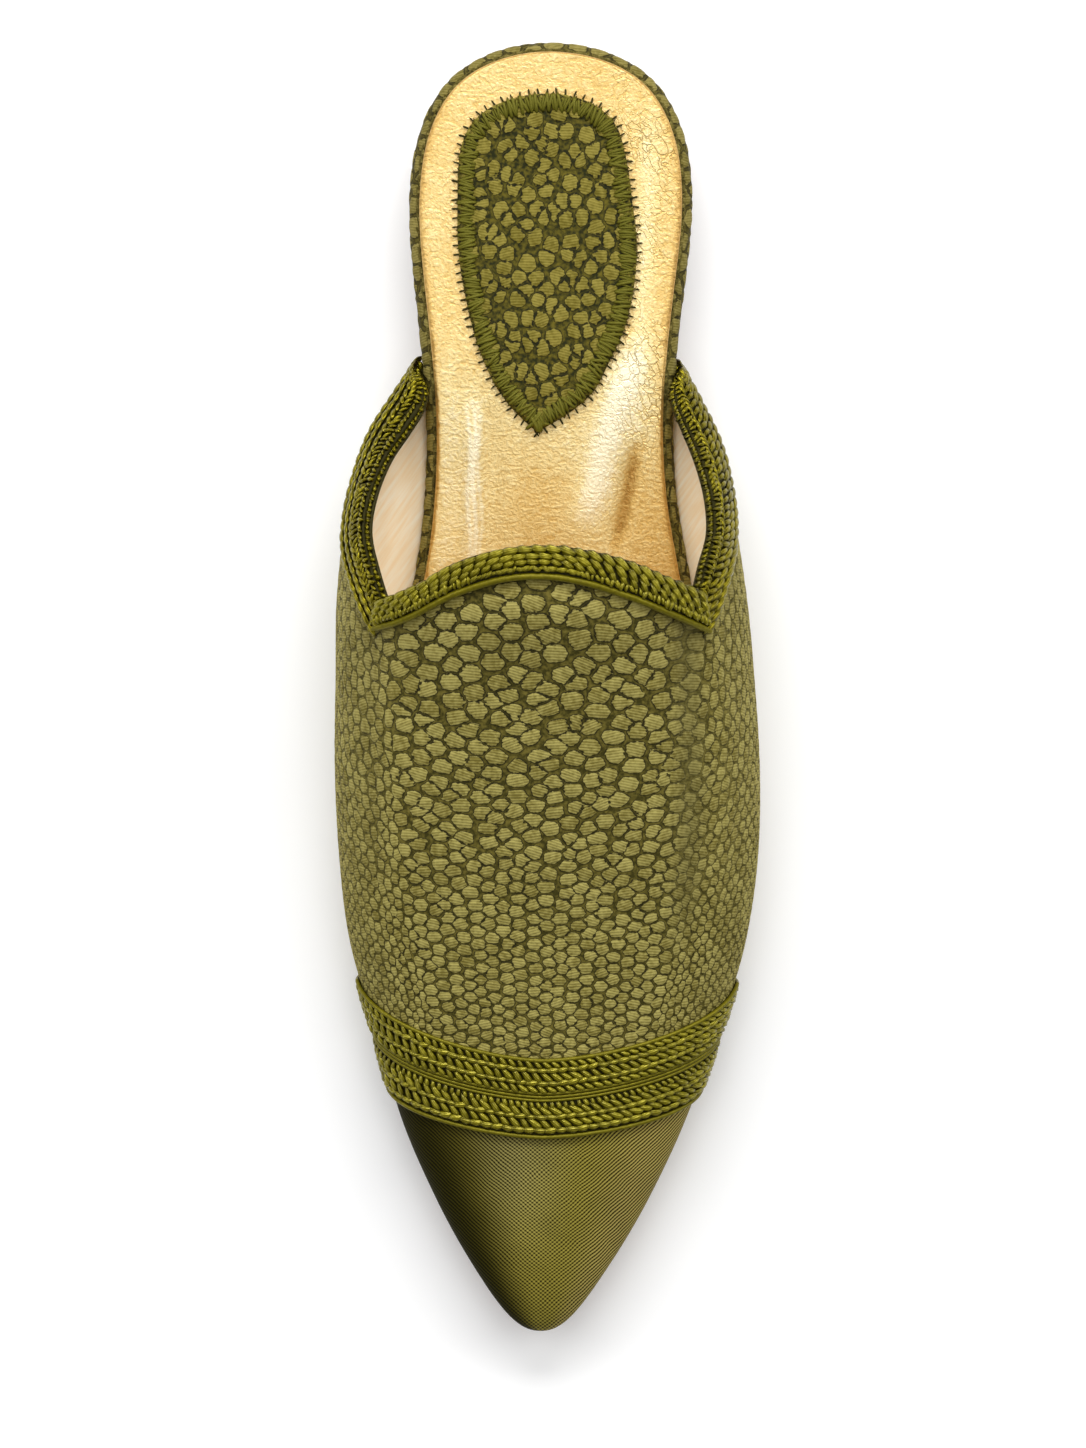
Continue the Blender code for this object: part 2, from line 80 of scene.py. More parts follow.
# The shoe's own sizes
LENGTH = 268.5
GAP = 0.3
HEEL_RISE = 8.0
TOE_SPRING = 6.0
HEEL_BREAST = 56.0
SHANK_BACK = 60.0
TREAD_BACK = 140.0
TREAD_FRONT = 196.0
SOLE_THICKNESS = 3.5
FOOTBED_HEEL = 6.5
FOOTBED_BALL = 4.4
INSOLE_THICKNESS = 1.2
PATCH_THICKNESS = 0.8
UPPER_WALL = 1.8
QUARTER_END_WALL = 1.0
QUARTER_THIN_STATION = 84.0
LINING_SKIVE = 0.35
SKIVE_SHARE = 0.1
LINING_SHARE = 0.5
LINING_END = 9.0
FABRIC_SHARE = 0.45
UPPER_TUCK = 3.0
COLLAR_HEM = 0.03
TOE_HEM = 0.02
UPPER_GRID = (341, 241)
UPPER_INSIDE_GRID = (86, 61)
LINING_GRID = (161, 81)
CAP_GRID = (181, 90)
CAP_TIP = 0.01
ROW_CROWDING = 0.85
LINE_POINTS = 401
STRIP_POINTS = 301
GROUND_ROWS = 9
GROUND_POINTS = 200
GROUND_MARGIN = 0.02
CAP_WALL = 0.6
COLLAR_BRAID_GAP = 0.45
COLLAR_GROUND = 0.5
COLLAR_ROW_LIFT = 0.7
COLLAR_EDGE_LIFT = -0.3
COLLAR_CORD_DROP = 0.15
TOE_GROUND = 0.35
TOE_ROW_LIFT = 0.55
TOE_CORD_LIFT = 0.5
CENTRE_SHIFT = -0.51

# Sections of the last: half widths at the feather edge and at the widest, then heights above it.
LAST = table(
    "station feather_left feather_right width_left width_right bulge crest",
    (66, 25.2, 25.2, 26.0, 25.9, 2.4, 11.0),
    (74, 24.7, 24.9, 31.3, 30.4, 4.8, 15.0),
    (80, 24.2, 25.0, 35.2, 33.5, 7.6, 20.5),
    (86, 24.2, 25.4, 37.8, 35.8, 10.6, 28.5),
    (93, 24.5, 25.9, 39.9, 37.5, 13.2, 39.0),
    (101, 25.2, 26.9, 41.6, 39.0, 15.0, 48.5),
    (116, 28.2, 30.4, 43.2, 41.4, 16.0, 52.5),
    (132, 33.4, 34.8, 43.4, 43.1, 15.0, 47.5),
    (150, 38.0, 38.7, 43.5, 44.4, 13.5, 41.5),
    (168, 38.2, 39.6, 42.6, 44.3, 12.0, 35.5),
    (186, 36.4, 37.8, 40.4, 42.0, 10.5, 29.5),
    (205, 31.1, 32.6, 34.9, 36.5, 9.0, 23.6),
    (224, 25.8, 26.2, 29.4, 29.9, 7.5, 18.2),
    (240, 19.4, 19.6, 22.4, 22.6, 6.0, 14.0),
    (255, 12.2, 12.0, 14.0, 13.9, 4.0, 9.4),
    (LENGTH, 0.0, 0.0, 0.0, 0.0, 0.0, 0.0),
)
CREST_FULLNESS = 2.15
TURN_UNDER = np.radians(60)

# The collar: its edge and the far side of its braid, as a station and an angle round the section.
COLLAR = "share edge_station edge_angle trim_station trim_angle"
THROAT = table(
    COLLAR,
    (-0.40, 116.8, -48.2, 123.0, -53.0),
    (-0.27, 113.7, -34.8, 120.6, -37.7),
    (-0.16, 109.0, -21.6, 115.5, -21.4),
    (-0.07, 106.6, -9.2, 112.8, -9.0),
    (0.00, 106.0, 0.0, 112.4, 0.0),
    (0.07, 106.8, 9.2, 113.5, 9.1),
    (0.16, 108.8, 21.6, 116.2, 21.2),
    (0.27, 112.1, 35.5, 119.6, 35.0),
    (0.40, 114.4, 46.2, 122.9, 49.3),
)
LEFT_QUARTER = table(
    COLLAR,
    (0.40, 116.8, 48.2, 123.0, 53.0),
    (0.45, 110.6, 53.5, 113.5, 65.5),
    (0.51, 102.7, 60.2, 104.5, 78.0),
    (0.58, 94.7, 61.0, 95.3, 83.0),
    (0.65, 86.4, 57.2, 86.0, 85.0),
    (0.70, 81.2, 52.6, 79.5, 86.0),
    (0.74, 77.0, 51.0, 74.0, 87.5),
    (0.78, 73.2, 55.0, 69.8, 90.0),
    (0.83, 70.2, 70.0, 66.8, 93.0),
    (0.90, 68.0, 105.0, 66.4, 130.0),
    (1.00, 66.0, 180.0, 66.0, 180.0),
)
RIGHT_QUARTER = table(
    COLLAR,
    (0.40, 114.4, 46.2, 122.9, 49.3),
    (0.45, 109.2, 50.3, 112.0, 62.5),
    (0.51, 102.2, 57.4, 103.3, 74.0),
    (0.58, 94.2, 59.6, 94.5, 82.0),
    (0.65, 86.0, 57.6, 85.0, 85.0),
    (0.70, 80.8, 56.2, 79.0, 86.0),
    (0.74, 77.0, 56.0, 74.0, 87.5),
    (0.78, 73.2, 58.5, 69.8, 90.0),
    (0.83, 70.2, 71.0, 66.8, 93.0),
    (0.90, 68.0, 105.0, 66.4, 130.0),
    (1.00, 66.0, 180.0, 66.0, 180.0),
)
CORNER_SHARE = 0.40
CORNER_CLEAR = 1e-6
THROAT_POINTS = 81
QUARTER_POINTS = 121
WIDEST_SHARE = 0.75
COLUMN_BEND = 14

# Lines across the toe: station on the crest, and how far back the line runs by the widest point.
ToeLine = namedtuple("ToeLine", "crest_station sweep")
BRAID_BACK = ToeLine(210.4, 15.8)
BRAID_SPLIT = ToeLine(219.3, 12.8)
BRAID_FRONT = ToeLine(227.3, 9.6)
SWEEP_POWER = 1.5
SWEEP_BELOW = 2.0
CAP_TUCK = 4.0
BRAID_LOWEST_ANGLE = 145.0

# Plan outlines: half widths at each station.
PLAN = "station left right"
FOOTBED_PLAN = table(
    PLAN,
    (4, 16.0, 16.5),
    (12, 24.1, 24.7),
    (24, 28.3, 28.9),
    (36, 29.1, 29.5),
    (49, 28.1, 28.3),
    (62, 26.6, 26.9),
    (80, 25.2, 26.0),
    (93, 25.4, 26.8),
    (109, 27.2, 29.6),
    (130, 32.4, 34.0),
    (150, 36.4, 37.0),
    (170, 36.2, 37.4),
    (190, 32.8, 34.0),
    (210, 27.0, 27.6),
    (230, 19.6, 19.8),
    (246, 10.6, 10.6),
)
FOOTBED_ENDS = (0.0, 254.0)
OUTSOLE_PLAN = table(
    PLAN,
    (4, 14.2, 14.6),
    (12, 22.9, 23.5),
    (24, 27.1, 27.5),
    (36, 27.9, 28.0),
    (49, 26.9, 26.9),
    (62, 26.0, 26.2),
    (80, 25.7, 26.5),
    (93, 26.0, 27.4),
    (109, 27.8, 29.8),
    (130, 34.2, 35.6),
    (150, 39.4, 40.1),
    (168, 39.4, 40.8),
    (186, 37.2, 38.6),
    (205, 32.4, 33.6),
    (224, 26.7, 27.1),
    (240, 20.5, 20.6),
    (255, 12.8, 12.7),
)
OUTSOLE_ENDS = (1.2, 266.8)
PATCH_PLAN = table(
    PLAN,
    (16, 15.2, 12.6),
    (22, 18.4, 15.3),
    (32, 19.1, 17.0),
    (43, 18.9, 18.2),
    (52, 17.5, 17.5),
    (60, 15.1, 16.1),
    (68, 11.3, 13.3),
    (75, 6.4, 9.1),
)
PATCH_ENDS = (10.9, 81.0)
PATCH_DRIFT = -2.3
PATCH_DRIFT_START = 50.0
ROUND, POINTED, BLUNT = 0.5, 1.0, 0.0

# Side profiles from bottom to top: inset from the outline, and share of the piece's thickness.
SIDE = "inset height"
OUTSOLE_SIDE = table(SIDE, (0.9, 0.0), (0.1, 0.25), (0.0, 0.7), (0.5, 1.0))
HEEL_SIDE = table(SIDE, (1.6, 0.0), (0.8, 0.12), (0.4, 1.0))
FOOTBED_SIDE = table(SIDE, (4.4, 0.0), (0.5, 0.55), (0.0, 0.68), (0.5, 0.88), (1.6, 1.0))
INSOLE_INSET = 2.1
INSOLE_SIDE = table(SIDE, (0.0, 0.0), (0.0, 0.6), (0.5, 1.0))
PATCH_SIDE = table(SIDE, (0.0, 0.0), (0.1, 0.6), (0.7, 1.0))

# The scale fabric: how wide and high one cell is at each station, smaller towards the toe.
CELLS = table(
    "station width height",
    (66, 5.4, 4.4),
    (116, 5.2, 4.2),
    (135, 4.9, 3.9),
    (150, 4.5, 3.5),
    (168, 3.8, 3.0),
    (190, 3.2, 2.5),
    (212, 2.8, 2.3),
    (LENGTH, 2.6, 2.2),
)
CELL_JITTER = 0.46
CELL_ROUNDING = 0.85
FLANK = 0.55
FLANK_STRETCH = 0.9
FLANK_CALM = 0.6
CALM_ANGLES = (46, 62)
TOE_CALM = 0.7
CALM_STATIONS = (150, 190)
# Painted light: the flanks of the vamp are painted a little paler.
FLANK_PAINTED_LIGHT = 0.05
PAINTED_LIGHT_ANGLES = (58, 78)
FLANK_FADE = 0.3
FADE_ANGLES = (45, 65)
SCALE_RELIEF = 0.22
PATCH_CELL = (3.75, 3.75)
PATCH_RELIEF = 0.2
PATCH_JITTER = 0.62
PATCH_ROUNDING = 1.2
RIM_CELL = (4.4, 3.4)
RIM_RELIEF = 0.16
RIM_JITTER = 0.5
RIM_ROUNDING = 0.5

# Soft folds of the vamp: the angle round the section and the half width of each, where it starts
# and ends, and how far it lifts or sinks the fabric. The next value is painted light and shade: how
# much paler the cloth is painted there, darker in the troughs and lighter on the ridges. Fade is how far
# the pattern is rubbed away.
VAMP_FOLDS = table(
    "angle half_width start end lift nap fade",
    (41, 6, 104, 196, -0.5, -0.2, 0.5),
    (54, 7, 104, 190, 0.3, 0.06, 0.2),
    (-44, 6, 112, 190, 0.3, 0.05, 0.1),
    (-54, 6, 108, 186, -0.25, -0.03, 0.15),
)
FOLD_RISE = 12
FOLD_FALL = 25

# Folds of the gilt skin, and painted highlights and painted shade along its ridges, folds and margins:
# strength, both ends as x and station, and half width.
SKIN_LINE = "strength start end half_width"
INSOLE_FOLDS = table(
    SKIN_LINE,
    (0.35, (-15.4, 80), (-15.8, 106), 1.6),
    (-0.25, (-11.5, 80), (-12.0, 106), 2.6),
    (0.4, (16.4, 70), (8.7, 97), 3.4),
    (-0.5, (18.2, 85), (14.7, 103), 1.6),
)
INSOLE_PAINTED_LIGHT_AND_SHADE = table(
    SKIN_LINE,
    (0.14, (-15.4, 76), (-15.8, 110), 1.8),
    (0.5, (16.4, 66), (8.7, 97), 3.3),
    (0.22, (20.5, 20), (18.5, 78), 2.2),
    (-0.5, (18.4, 85), (14.7, 104), 1.3),
    (-0.14, (-2, 88), (-2, 112), 9.0),
    (0.12, (-21, 66), (-21.5, 110), 3.5),
)
FINE_PAINTED_HIGHLIGHTS = table(
    SKIN_LINE,
    (0.32, (-16.4, 78), (-16.2, 112), 0.38),
    (0.42, (-15.3, 78), (-15.0, 112), 0.38),
    (0.26, (-14.4, 78), (-13.6, 112), 0.38),
)
STREAK_WANDER = 0.35
STREAK_WAVE = 3.1
LINE_BEGINS = (-0.25, 0.15)
LINE_ENDS = (1.25, 0.85)
# Foil tone: a base, painted light forward of the waist, darker on the right by the throat and at the edge.
INSOLE_GLEAM = 0.47
WAIST_PAINTED_LIGHT = 0.14
WAIST_STATIONS = (58, 83)
RIGHT_DARKENING = 0.16
RIGHT_DARKENING_X = (15, 19)
RIGHT_DARKENING_STATIONS = (82, 94)
EDGE_DARKENING = 0.16
EDGE_DARKENING_DEPTHS = (2.2, 0.2)
SIDE_GLEAM = 0.2
LEAST_CREASED = 0.22
CREASED_X = (6, 15)
CREASED_STATIONS = (104, 74)

# Braid rows: place across the band, pitch, then the lobe's length, width and height, its slant to
# the band and how much the slants vary.
BRAID = "name across pitch length width height slant wobble"
THROAT_ROWS = table(
    BRAID,
    ("throat_edge_lobes", 0.12, 2.8, 4.4, 2.0, 1.7, -20, 3),
    ("throat_second_lobes", 0.33, 2.6, 4.1, 1.8, 1.7, -30, 4),
    ("throat_third_lobes", 0.50, 2.3, 3.5, 1.5, 1.7, -34, 7),
    ("throat_loops", 0.69, 1.05, 2.6, 1.1, 1.7, -60, 34),
)
THROAT_CORDS = [(0.93, 0.7)]
QUARTER_ROWS = table(
    BRAID,
    ("quarter_loops", 0.08, 1.2, 2.8, 0.9, 1.2, -52, 34),
    ("quarter_inner_loops", 0.22, 1.2, 2.8, 0.9, 1.2, 46, 34),
    ("quarter_twist", 0.40, 1.9, 3.8, 1.4, 1.1, -30, 12),
    ("quarter_second_lobes", 0.61, 2.5, 4.8, 1.8, 1.2, -16, 6),
    ("quarter_outer_lobes", 0.85, 2.6, 5.0, 1.9, 1.2, -12, 6),
)
QUARTER_EDGE_ROWS = table(BRAID, ("quarter_edge_loops", 0.02, 1.3, 2.4, 1.1, 1.4, -48, 24))
COLLAR_BINDING = 0.45
COLLAR_ROW_END = 0.865
TUCK_ROWS = table(BRAID, ("tuck_lobes", 0.4, 1.6, 2.6, 1.2, 1.3, -20, 10))
TUCK_SHARES = (0.765, 0.92)
TUCK_DEPTH = 1.4
TUCK_THICKNESS = 0.5
TUCK_LIFT = 0.2
TUCK_POINTS = 40
TUCK_LINES = 7
TUCK_LEVEL = 0.5
TOE_BACK_ROWS = table(
    BRAID,
    ("first_lobes", 0.14, 1.8, 3.0, 1.2, 1.3, -30, 9),
    ("second_lobes", 0.28, 2.1, 3.8, 1.5, 1.5, 14, 12),
    ("third_lobes", 0.43, 2.0, 3.8, 1.5, 1.5, -32, 12),
    ("fourth_lobes", 0.58, 2.1, 3.8, 1.5, 1.5, 14, 12),
    ("fifth_lobes", 0.72, 1.9, 3.3, 1.3, 1.4, -28, 9),
)
TOE_BACK_CORDS = [(0.05, 0.45), (0.83, 0.33), (0.91, 0.33), (0.99, 0.33)]
TOE_FRONT_ROWS = table(
    BRAID,
    ("beads", 0.11, 1.4, 2.0, 1.2, 1.2, -50, 14),
    ("second_lobes", 0.26, 2.1, 3.8, 1.5, 1.5, -30, 12),
    ("third_lobes", 0.42, 2.1, 3.8, 1.5, 1.5, 14, 12),
    ("fourth_lobes", 0.58, 2.1, 3.8, 1.5, 1.5, -32, 12),
    ("edge_lobes", 0.77, 2.2, 3.9, 1.6, 1.5, 14, 9),
)
TOE_FRONT_CORDS = [(0.95, 0.45)]

# Stitches of the heel patch, as the braid rows, but set in from the patch's edge by millimetres.
PATCH_STITCHES = table(
    BRAID + " lift size_wobble seed",
    ("border", 1.9, 0.5, 3.9, 0.62, 0.6, 90, 24, PATCH_THICKNESS - 0.05, 0.34, 5),
    ("tick", -0.3, 1.9, 1.9, 0.4, 0.4, 90, 14, -0.1, 0.2, 9),
)
STITCH_STATIONS = 400

# How the strands of the braids vary, and how their slants ease round the shoe.
SIZE_WOBBLE = 0.03
WOBBLE_TO_SIZE = 150
SLANT_EASE = 0.5
SLANT_EASE_ANGLE = 50.0
SLANT_TURN_COLLAR = 0.12


def curve(keys, values, at):
    """A cubic through a table's values, each row's slope taken from its neighbours."""
    keys = np.asarray(keys, float)
    values = np.asarray(values, float)
    slopes = np.gradient(values, keys)
    i = np.clip(np.searchsorted(keys, at) - 1, 0, len(keys) - 2)
    span = keys[i + 1] - keys[i]
    t = (at - keys[i]) / span
    start = (1 + 2 * t) * (1 - t) ** 2 * values[i] + t * (1 - t) ** 2 * span * slopes[i]
    finish = t**2 * (3 - 2 * t) * values[i + 1] - t**2 * (1 - t) * span * slopes[i + 1]
    return start + finish


def column(rows, name):
    return np.array([getattr(row, name) for row in rows], float)


def smooth(share):
    share = np.clip(share, 0, 1)
    return share**2 * (3 - 2 * share)


def eased(value, start, end):
    """A soft step from 0 at start to 1 at end."""
    return smooth((value - start) / (end - start))


def tread_height(station):
    shank = HEEL_RISE * smooth((TREAD_BACK - station) / (TREAD_BACK - SHANK_BACK))
    spring = np.clip((station - TREAD_FRONT) / (LENGTH - TREAD_FRONT), 0, None)
    return shank + TOE_SPRING * spring**2


def footbed_base(station):
    return tread_height(station) + SOLE_THICKNESS + GAP


def footbed_thickness(station):
    share = smooth((TREAD_BACK - station) / (TREAD_BACK - HEEL_BREAST))
    return FOOTBED_BALL + (FOOTBED_HEEL - FOOTBED_BALL) * share


def insole_base(station):
    return footbed_base(station) + footbed_thickness(station) + GAP


def patch_base(station):
    return insole_base(station) + INSOLE_THICKNESS + GAP


# The upper's own surface. Root is the square root of the distance left to the toe.
LAST_ROOTS = np.sqrt(LENGTH - column(LAST, "station"))[::-1]


def last_value(name, root):
    return curve(LAST_ROOTS, column(LAST, name)[::-1], root)


def last_point(root, angle):
    """A point of the last's surface. Angles below zero lie on the left, 0 on the crest."""
    station = LENGTH - root**2
    left = angle < 0
    width = np.where(left, last_value("width_left", root), last_value("width_right", root))
    feather = np.where(left, last_value("feather_left", root), last_value("feather_right", root))
    bulge = last_value("bulge", root)
    crest = last_value("crest", root)
    over = np.radians(np.clip(np.abs(angle), 0, 90))
    under = TURN_UNDER * np.clip(np.abs(angle) / 90 - 1, 0, 1)
    power = 2 / CREST_FULLNESS
    reach_over = width * np.sin(over) ** power
    reach_under = width - (width - feather) * (1 - np.cos(under)) / (1 - np.cos(TURN_UNDER))
    height_over = bulge + (crest - bulge) * np.cos(over) ** power
    height_under = bulge * (1 - np.sin(under) / np.sin(TURN_UNDER))
    above = np.abs(angle) <= 90
    reach = np.where(above, reach_over, reach_under)
    height = np.where(above, height_over, height_under)
    x = np.where(left, -reach, reach)
    return np.stack([x, LENGTH / 2 - station, footbed_base(station) + height], axis=-1)


def last_normal(root, angle):
    """Outward direction of the last's surface."""
    root_step, angle_step = 1e-3, 0.05
    root = np.maximum(root, 2 * root_step)
    along = last_point(root + root_step, angle) - last_point(root - root_step, angle)
    round_it = last_point(root, angle + angle_step) - last_point(root, angle - angle_step)
    normal = np.cross(round_it, along)
    return normal / np.linalg.norm(normal, axis=-1, keepdims=True)


def lifted(root, angle, lift):
    """The last's surface, moved outwards by lift."""
    lift = np.broadcast_to(lift, root.shape)
    return last_point(root, angle) + last_normal(root, angle) * lift[..., None]


def collar_line(share, station_name, angle_name):
    """Station and signed angle of a line along the collar, with a sharp corner on each side."""

    def follow(name, left_sign):
        front = np.clip(share, -CORNER_SHARE, CORNER_SHARE)
        over = curve(column(THROAT, "share"), column(THROAT, name), front)
        back = np.maximum(np.abs(share), CORNER_SHARE)
        left = left_sign * curve(column(LEFT_QUARTER, "share"), column(LEFT_QUARTER, name), back)
        right = curve(column(RIGHT_QUARTER, "share"), column(RIGHT_QUARTER, name), back)
        return np.where(np.abs(share) <= CORNER_SHARE, over, np.where(share < 0, left, right))

    return follow(station_name, 1), follow(angle_name, -1)


def toe_line_station(line, angle):
    over = np.clip(np.abs(angle) / 90, 0, 1)
    under = np.clip(np.abs(angle) / 90 - 1, 0, 1)
    return line.crest_station - line.sweep * over**SWEEP_POWER - SWEEP_BELOW * under


def wall_at(root):
    """Thickness of the upper's wall, thinner towards the ends of the quarters."""
    back = LAST[0].station
    from_end = smooth((LENGTH - root**2 - back) / (QUARTER_THIN_STATION - back))
    return QUARTER_END_WALL + (UPPER_WALL - QUARTER_END_WALL) * from_end


# Meshes

def made_object(name, data):
    made = bpy.data.objects.new(name, data)
    bpy.context.scene.collection.objects.link(made)
    return made


def keep(mesh, name, values):
    """Keeps a number or a vector for each point of a mesh, under a name."""
    values = np.asarray(values, np.float32)
    kind, field = ("FLOAT_VECTOR", "vector") if values.ndim == 2 else ("FLOAT", "value")
    mesh.attributes.new(name, kind, "POINT").data.foreach_set(field, values.ravel())


def surface(name, points, faces, attributes=None, material=None, merge=1e-7):
    """A smooth mesh object from points in millimetres, with named values kept on its points."""
    mesh = bpy.data.meshes.new(name)
    place = (np.asarray(points, float) + (CENTRE_SHIFT, 0, 0)) * MM
    mesh.from_pydata(place.tolist(), [], faces)
    for key, values in (attributes or {}).items():
        keep(mesh, key, values)
    bm = bmesh.new()
    bm.from_mesh(mesh)
    bmesh.ops.remove_doubles(bm, verts=bm.verts, dist=merge)
    bmesh.ops.recalc_face_normals(bm, faces=bm.faces)
    if bm.calc_volume(signed=True) < 0:
        bmesh.ops.reverse_faces(bm, faces=bm.faces)
    bm.to_mesh(mesh)
    bm.free()
    mesh.shade_smooth()
    if material:
        mesh.materials.append(material)
    return made_object(name, mesh)


def grid_faces(rows, columns, first=0):
    index = first + np.arange(rows * columns).reshape(rows, columns)
    quads = np.stack([index[:-1, :-1], index[:-1, 1:], index[1:, 1:], index[1:, :-1]], axis=-1)
    return quads.reshape(-1, 4).tolist()


def rim_loop(rows, columns, first):
    """Indices round a grid's edge, each with its place from 0 to 4, a whole number at a corner."""
    index = first + np.arange(rows * columns).reshape(rows, columns)
    sides = [index[0], index[:, -1], index[-1, ::-1], index[::-1, 0]]
    loop = []
    for number, side in enumerate(sides):
        loop += [(number + i / (len(side) - 1), k) for i, k in enumerate(side[:-1])]
    return loop + [(4.0, loop[0][1])]


def stitched(one, two):
    """Triangles that join two rim loops of different fineness."""
    faces = []
    i = j = 0
    while i < len(one) - 1 or j < len(two) - 1:
        ahead = j == len(two) - 1 or (i < len(one) - 1 and one[i + 1][0] <= two[j + 1][0])
        step = one[i + 1][1] if ahead else two[j + 1][1]
        faces.append((int(one[i][1]), int(step), int(two[j][1])))
        i, j = (i + 1, j) if ahead else (i, j + 1)
    return faces


def wall(name, outside, inside, attributes, material):
    """A closed wall: a fine outside, a coarser inside, and a rim that joins them."""
    count = outside.shape[0] * outside.shape[1]
    faces = grid_faces(*outside.shape[:2]) + grid_faces(*inside.shape[:2], first=count)
    faces += stitched(rim_loop(*outside.shape[:2], 0), rim_loop(*inside.shape[:2], count))
    points = np.concatenate([outside.reshape(-1, 3), inside.reshape(-1, 3)])
    hidden = len(points) - count
    full = {}
    for key, values in attributes.items():
        values = values.reshape(count, -1)
        values = np.concatenate([values, np.zeros((hidden, values.shape[1]))])
        full[key] = values if values.shape[1] > 1 else values[:, 0]
    return surface(name, points, faces, full, material)


def side_curve(side, levels):
    """A finer side profile through a table's levels."""
    at = np.linspace(0, len(side) - 1, levels)
    keys = np.arange(len(side))
    inset = np.interp(at, keys, column(side, "inset"))
    height = np.interp(at, keys, column(side, "height"))
    if levels > len(side):
        inset = curve(keys, column(side, "inset"), at)
        height = np.clip(curve(keys, column(side, "height"), at), 0, 1)
    return table(SIDE, *zip(inset, height))


def even(thickness):
    return lambda station: np.full_like(station, thickness)


def outline(plan, ends, runs_out, stations, sideways=even(0.0)):
    """Left and right edges of a plan outline, each as x and station, from heel to toe."""
    start, end = ends
    turn = np.linspace(0, np.pi, stations)
    if runs_out[1] == BLUNT:
        turn = turn / 2
        place = start + (end - start) * (1 - np.cos(turn))
    else:
        place = start + (end - start) * (1 - np.cos(turn)) / 2

    def half_width(name):
        known = column(plan, "station")
        taper = (known - start) ** runs_out[0] * (end - known) ** runs_out[1]
        fullness = curve(known, column(plan, name) / taper, place)
        return fullness * (place - start) ** runs_out[0] * (end - place) ** runs_out[1]

    left = np.stack([sideways(place) - half_width("left"), place], axis=-1)
    right = np.stack([sideways(place) + half_width("right"), place], axis=-1)
    return left, right


def inset_edge(edge, sign, depth, blunt=False):
    """An outline's edge moved inwards by depth."""
    run = np.gradient(edge, axis=0)
    outward = np.stack([sign * run[:, 1], -sign * run[:, 0]], axis=-1)
    outward /= np.linalg.norm(outward, axis=1, keepdims=True)
    outward[0] = (0, -1)
    outward[-1] = (sign, 0) if blunt else (0, 1)
    return edge - outward * depth


def slab(
    name, edges, side, inset, base, thickness, columns, material, shaped=None, placed=None, blunt=False
):
    """A closed slab over a plan outline. Its top has a grid of points that shaped may raise."""
    left, right = edges
    count = len(left)
    points, faces, place = [], [], []
    along = np.cumsum(np.linalg.norm(np.diff(left, axis=0, prepend=left[:1]), axis=1))
    rise = 0.0
    for number, level in enumerate(side):
        depth = inset + level.inset
        loop = np.concatenate([
            inset_edge(left, -1, depth, blunt),
            inset_edge(right, 1, depth, blunt)[::-1],
        ])
        height = base(loop[:, 1]) + level.height * thickness(loop[:, 1])
        points.append(np.column_stack([loop[:, 0], LENGTH / 2 - loop[:, 1], height]))
        if number:
            step = points[-1] - points[-2]
            rise = rise + np.median(np.linalg.norm(step, axis=1))
        around = np.concatenate([-along, along[::-1]])
        place.append(np.column_stack([around, np.full(2 * count, rise), np.zeros(2 * count)]))
    around = 2 * count
    for number in range(len(side) - 1):
        for i in range(around):
            j = (i + 1) % around
            low, high = number * around, (number + 1) * around
            faces.append((low + i, low + j, high + j, high + i))
    for i in range(count - 1):
        faces.append((i, i + 1, around - 2 - i, around - 1 - i))
    top = points[-1]
    left_top, right_top = top[:count], top[count:][::-1]
    way = np.linspace(0, 1, columns)[None, :, None]
    grid = left_top[:, None] + (right_top - left_top)[:, None] * way
    station = LENGTH / 2 - grid[..., 1]
    grid[..., 2] = base(station) + side[-1].height * thickness(station)
    if shaped is not None:
        grid[..., 2] += shaped(grid[..., 0], station)
    first = len(side) * around
    faces += grid_faces(count, columns, first)
    points.append(grid.reshape(-1, 3))
    flat = np.concatenate([grid[..., :2].reshape(-1, 2), np.zeros((count * columns, 1))], axis=1)
    place.append(flat)
    if placed is None:
        attributes = {}
    else:
        on_top = np.zeros(first + count * columns)
        on_top[first:] = 1
        attributes = placed(np.concatenate(place), on_top)
    return surface(name, np.concatenate(points), faces, attributes, material, merge=2e-7)


# Node trees

def linear(hex_colour):
    """Linear red, green, blue and alpha of an sRGB hex colour."""
    channels = [int(hex_colour[i : i + 2], 16) / 255 for i in (0, 2, 4)]
    return [c / 12.92 if c <= 0.04045 else ((c + 0.055) / 1.055) ** 2.4 for c in channels] + [1.0]


def opened(sockets):
    """The sockets that a node's settings leave in use."""
    return [socket for socket in sockets if socket.enabled]


def plug(socket, value):
    """Sets a socket, or links it to another socket or to a node's first open output."""
    if isinstance(value, bpy.types.Node):
        value = opened(value.outputs)[0]
    if isinstance(value, bpy.types.NodeSocket):
        socket.id_data.links.new(value, socket)
    else:
        socket.default_value = linear(value) if socket.type == "RGBA" else value


def add(tree, kind, *values, **named):
    """Adds a node with its settings and links. Its kind is the type's name without the family.

    Values in order fill the open sockets in order. A name with a capital is a socket's, or else it is
    a setting's.
    """
    families = ("GeometryNode", "FunctionNode", "ShaderNode", "Node")
    if tree.type == "SHADER":
        families = ("ShaderNode",)
    node = tree.nodes.new(next(f + kind for f in families if hasattr(bpy.types, f + kind)))
    sockets = {key: value for key, value in named.items() if key[0].isupper()}
    for key, value in named.items():
        if key not in sockets:
            setattr(node, key, value)
    for socket, value in zip(opened(node.inputs), values):
        plug(socket, value)
    for key, value in sockets.items():
        plug(node.inputs[key.replace("_", " ")], value)
    return node


def new_material(name, **sockets):
    """A material, what adds a node to it, and its Principled shader with the even values set."""
    material = bpy.data.materials.new(name)
    material.use_nodes = True
    material.node_tree.nodes.clear()
    node = partial(add, material.node_tree)
    shader = node("BsdfPrincipled", **sockets)
    node("OutputMaterial", shader)
    return material, node, shader


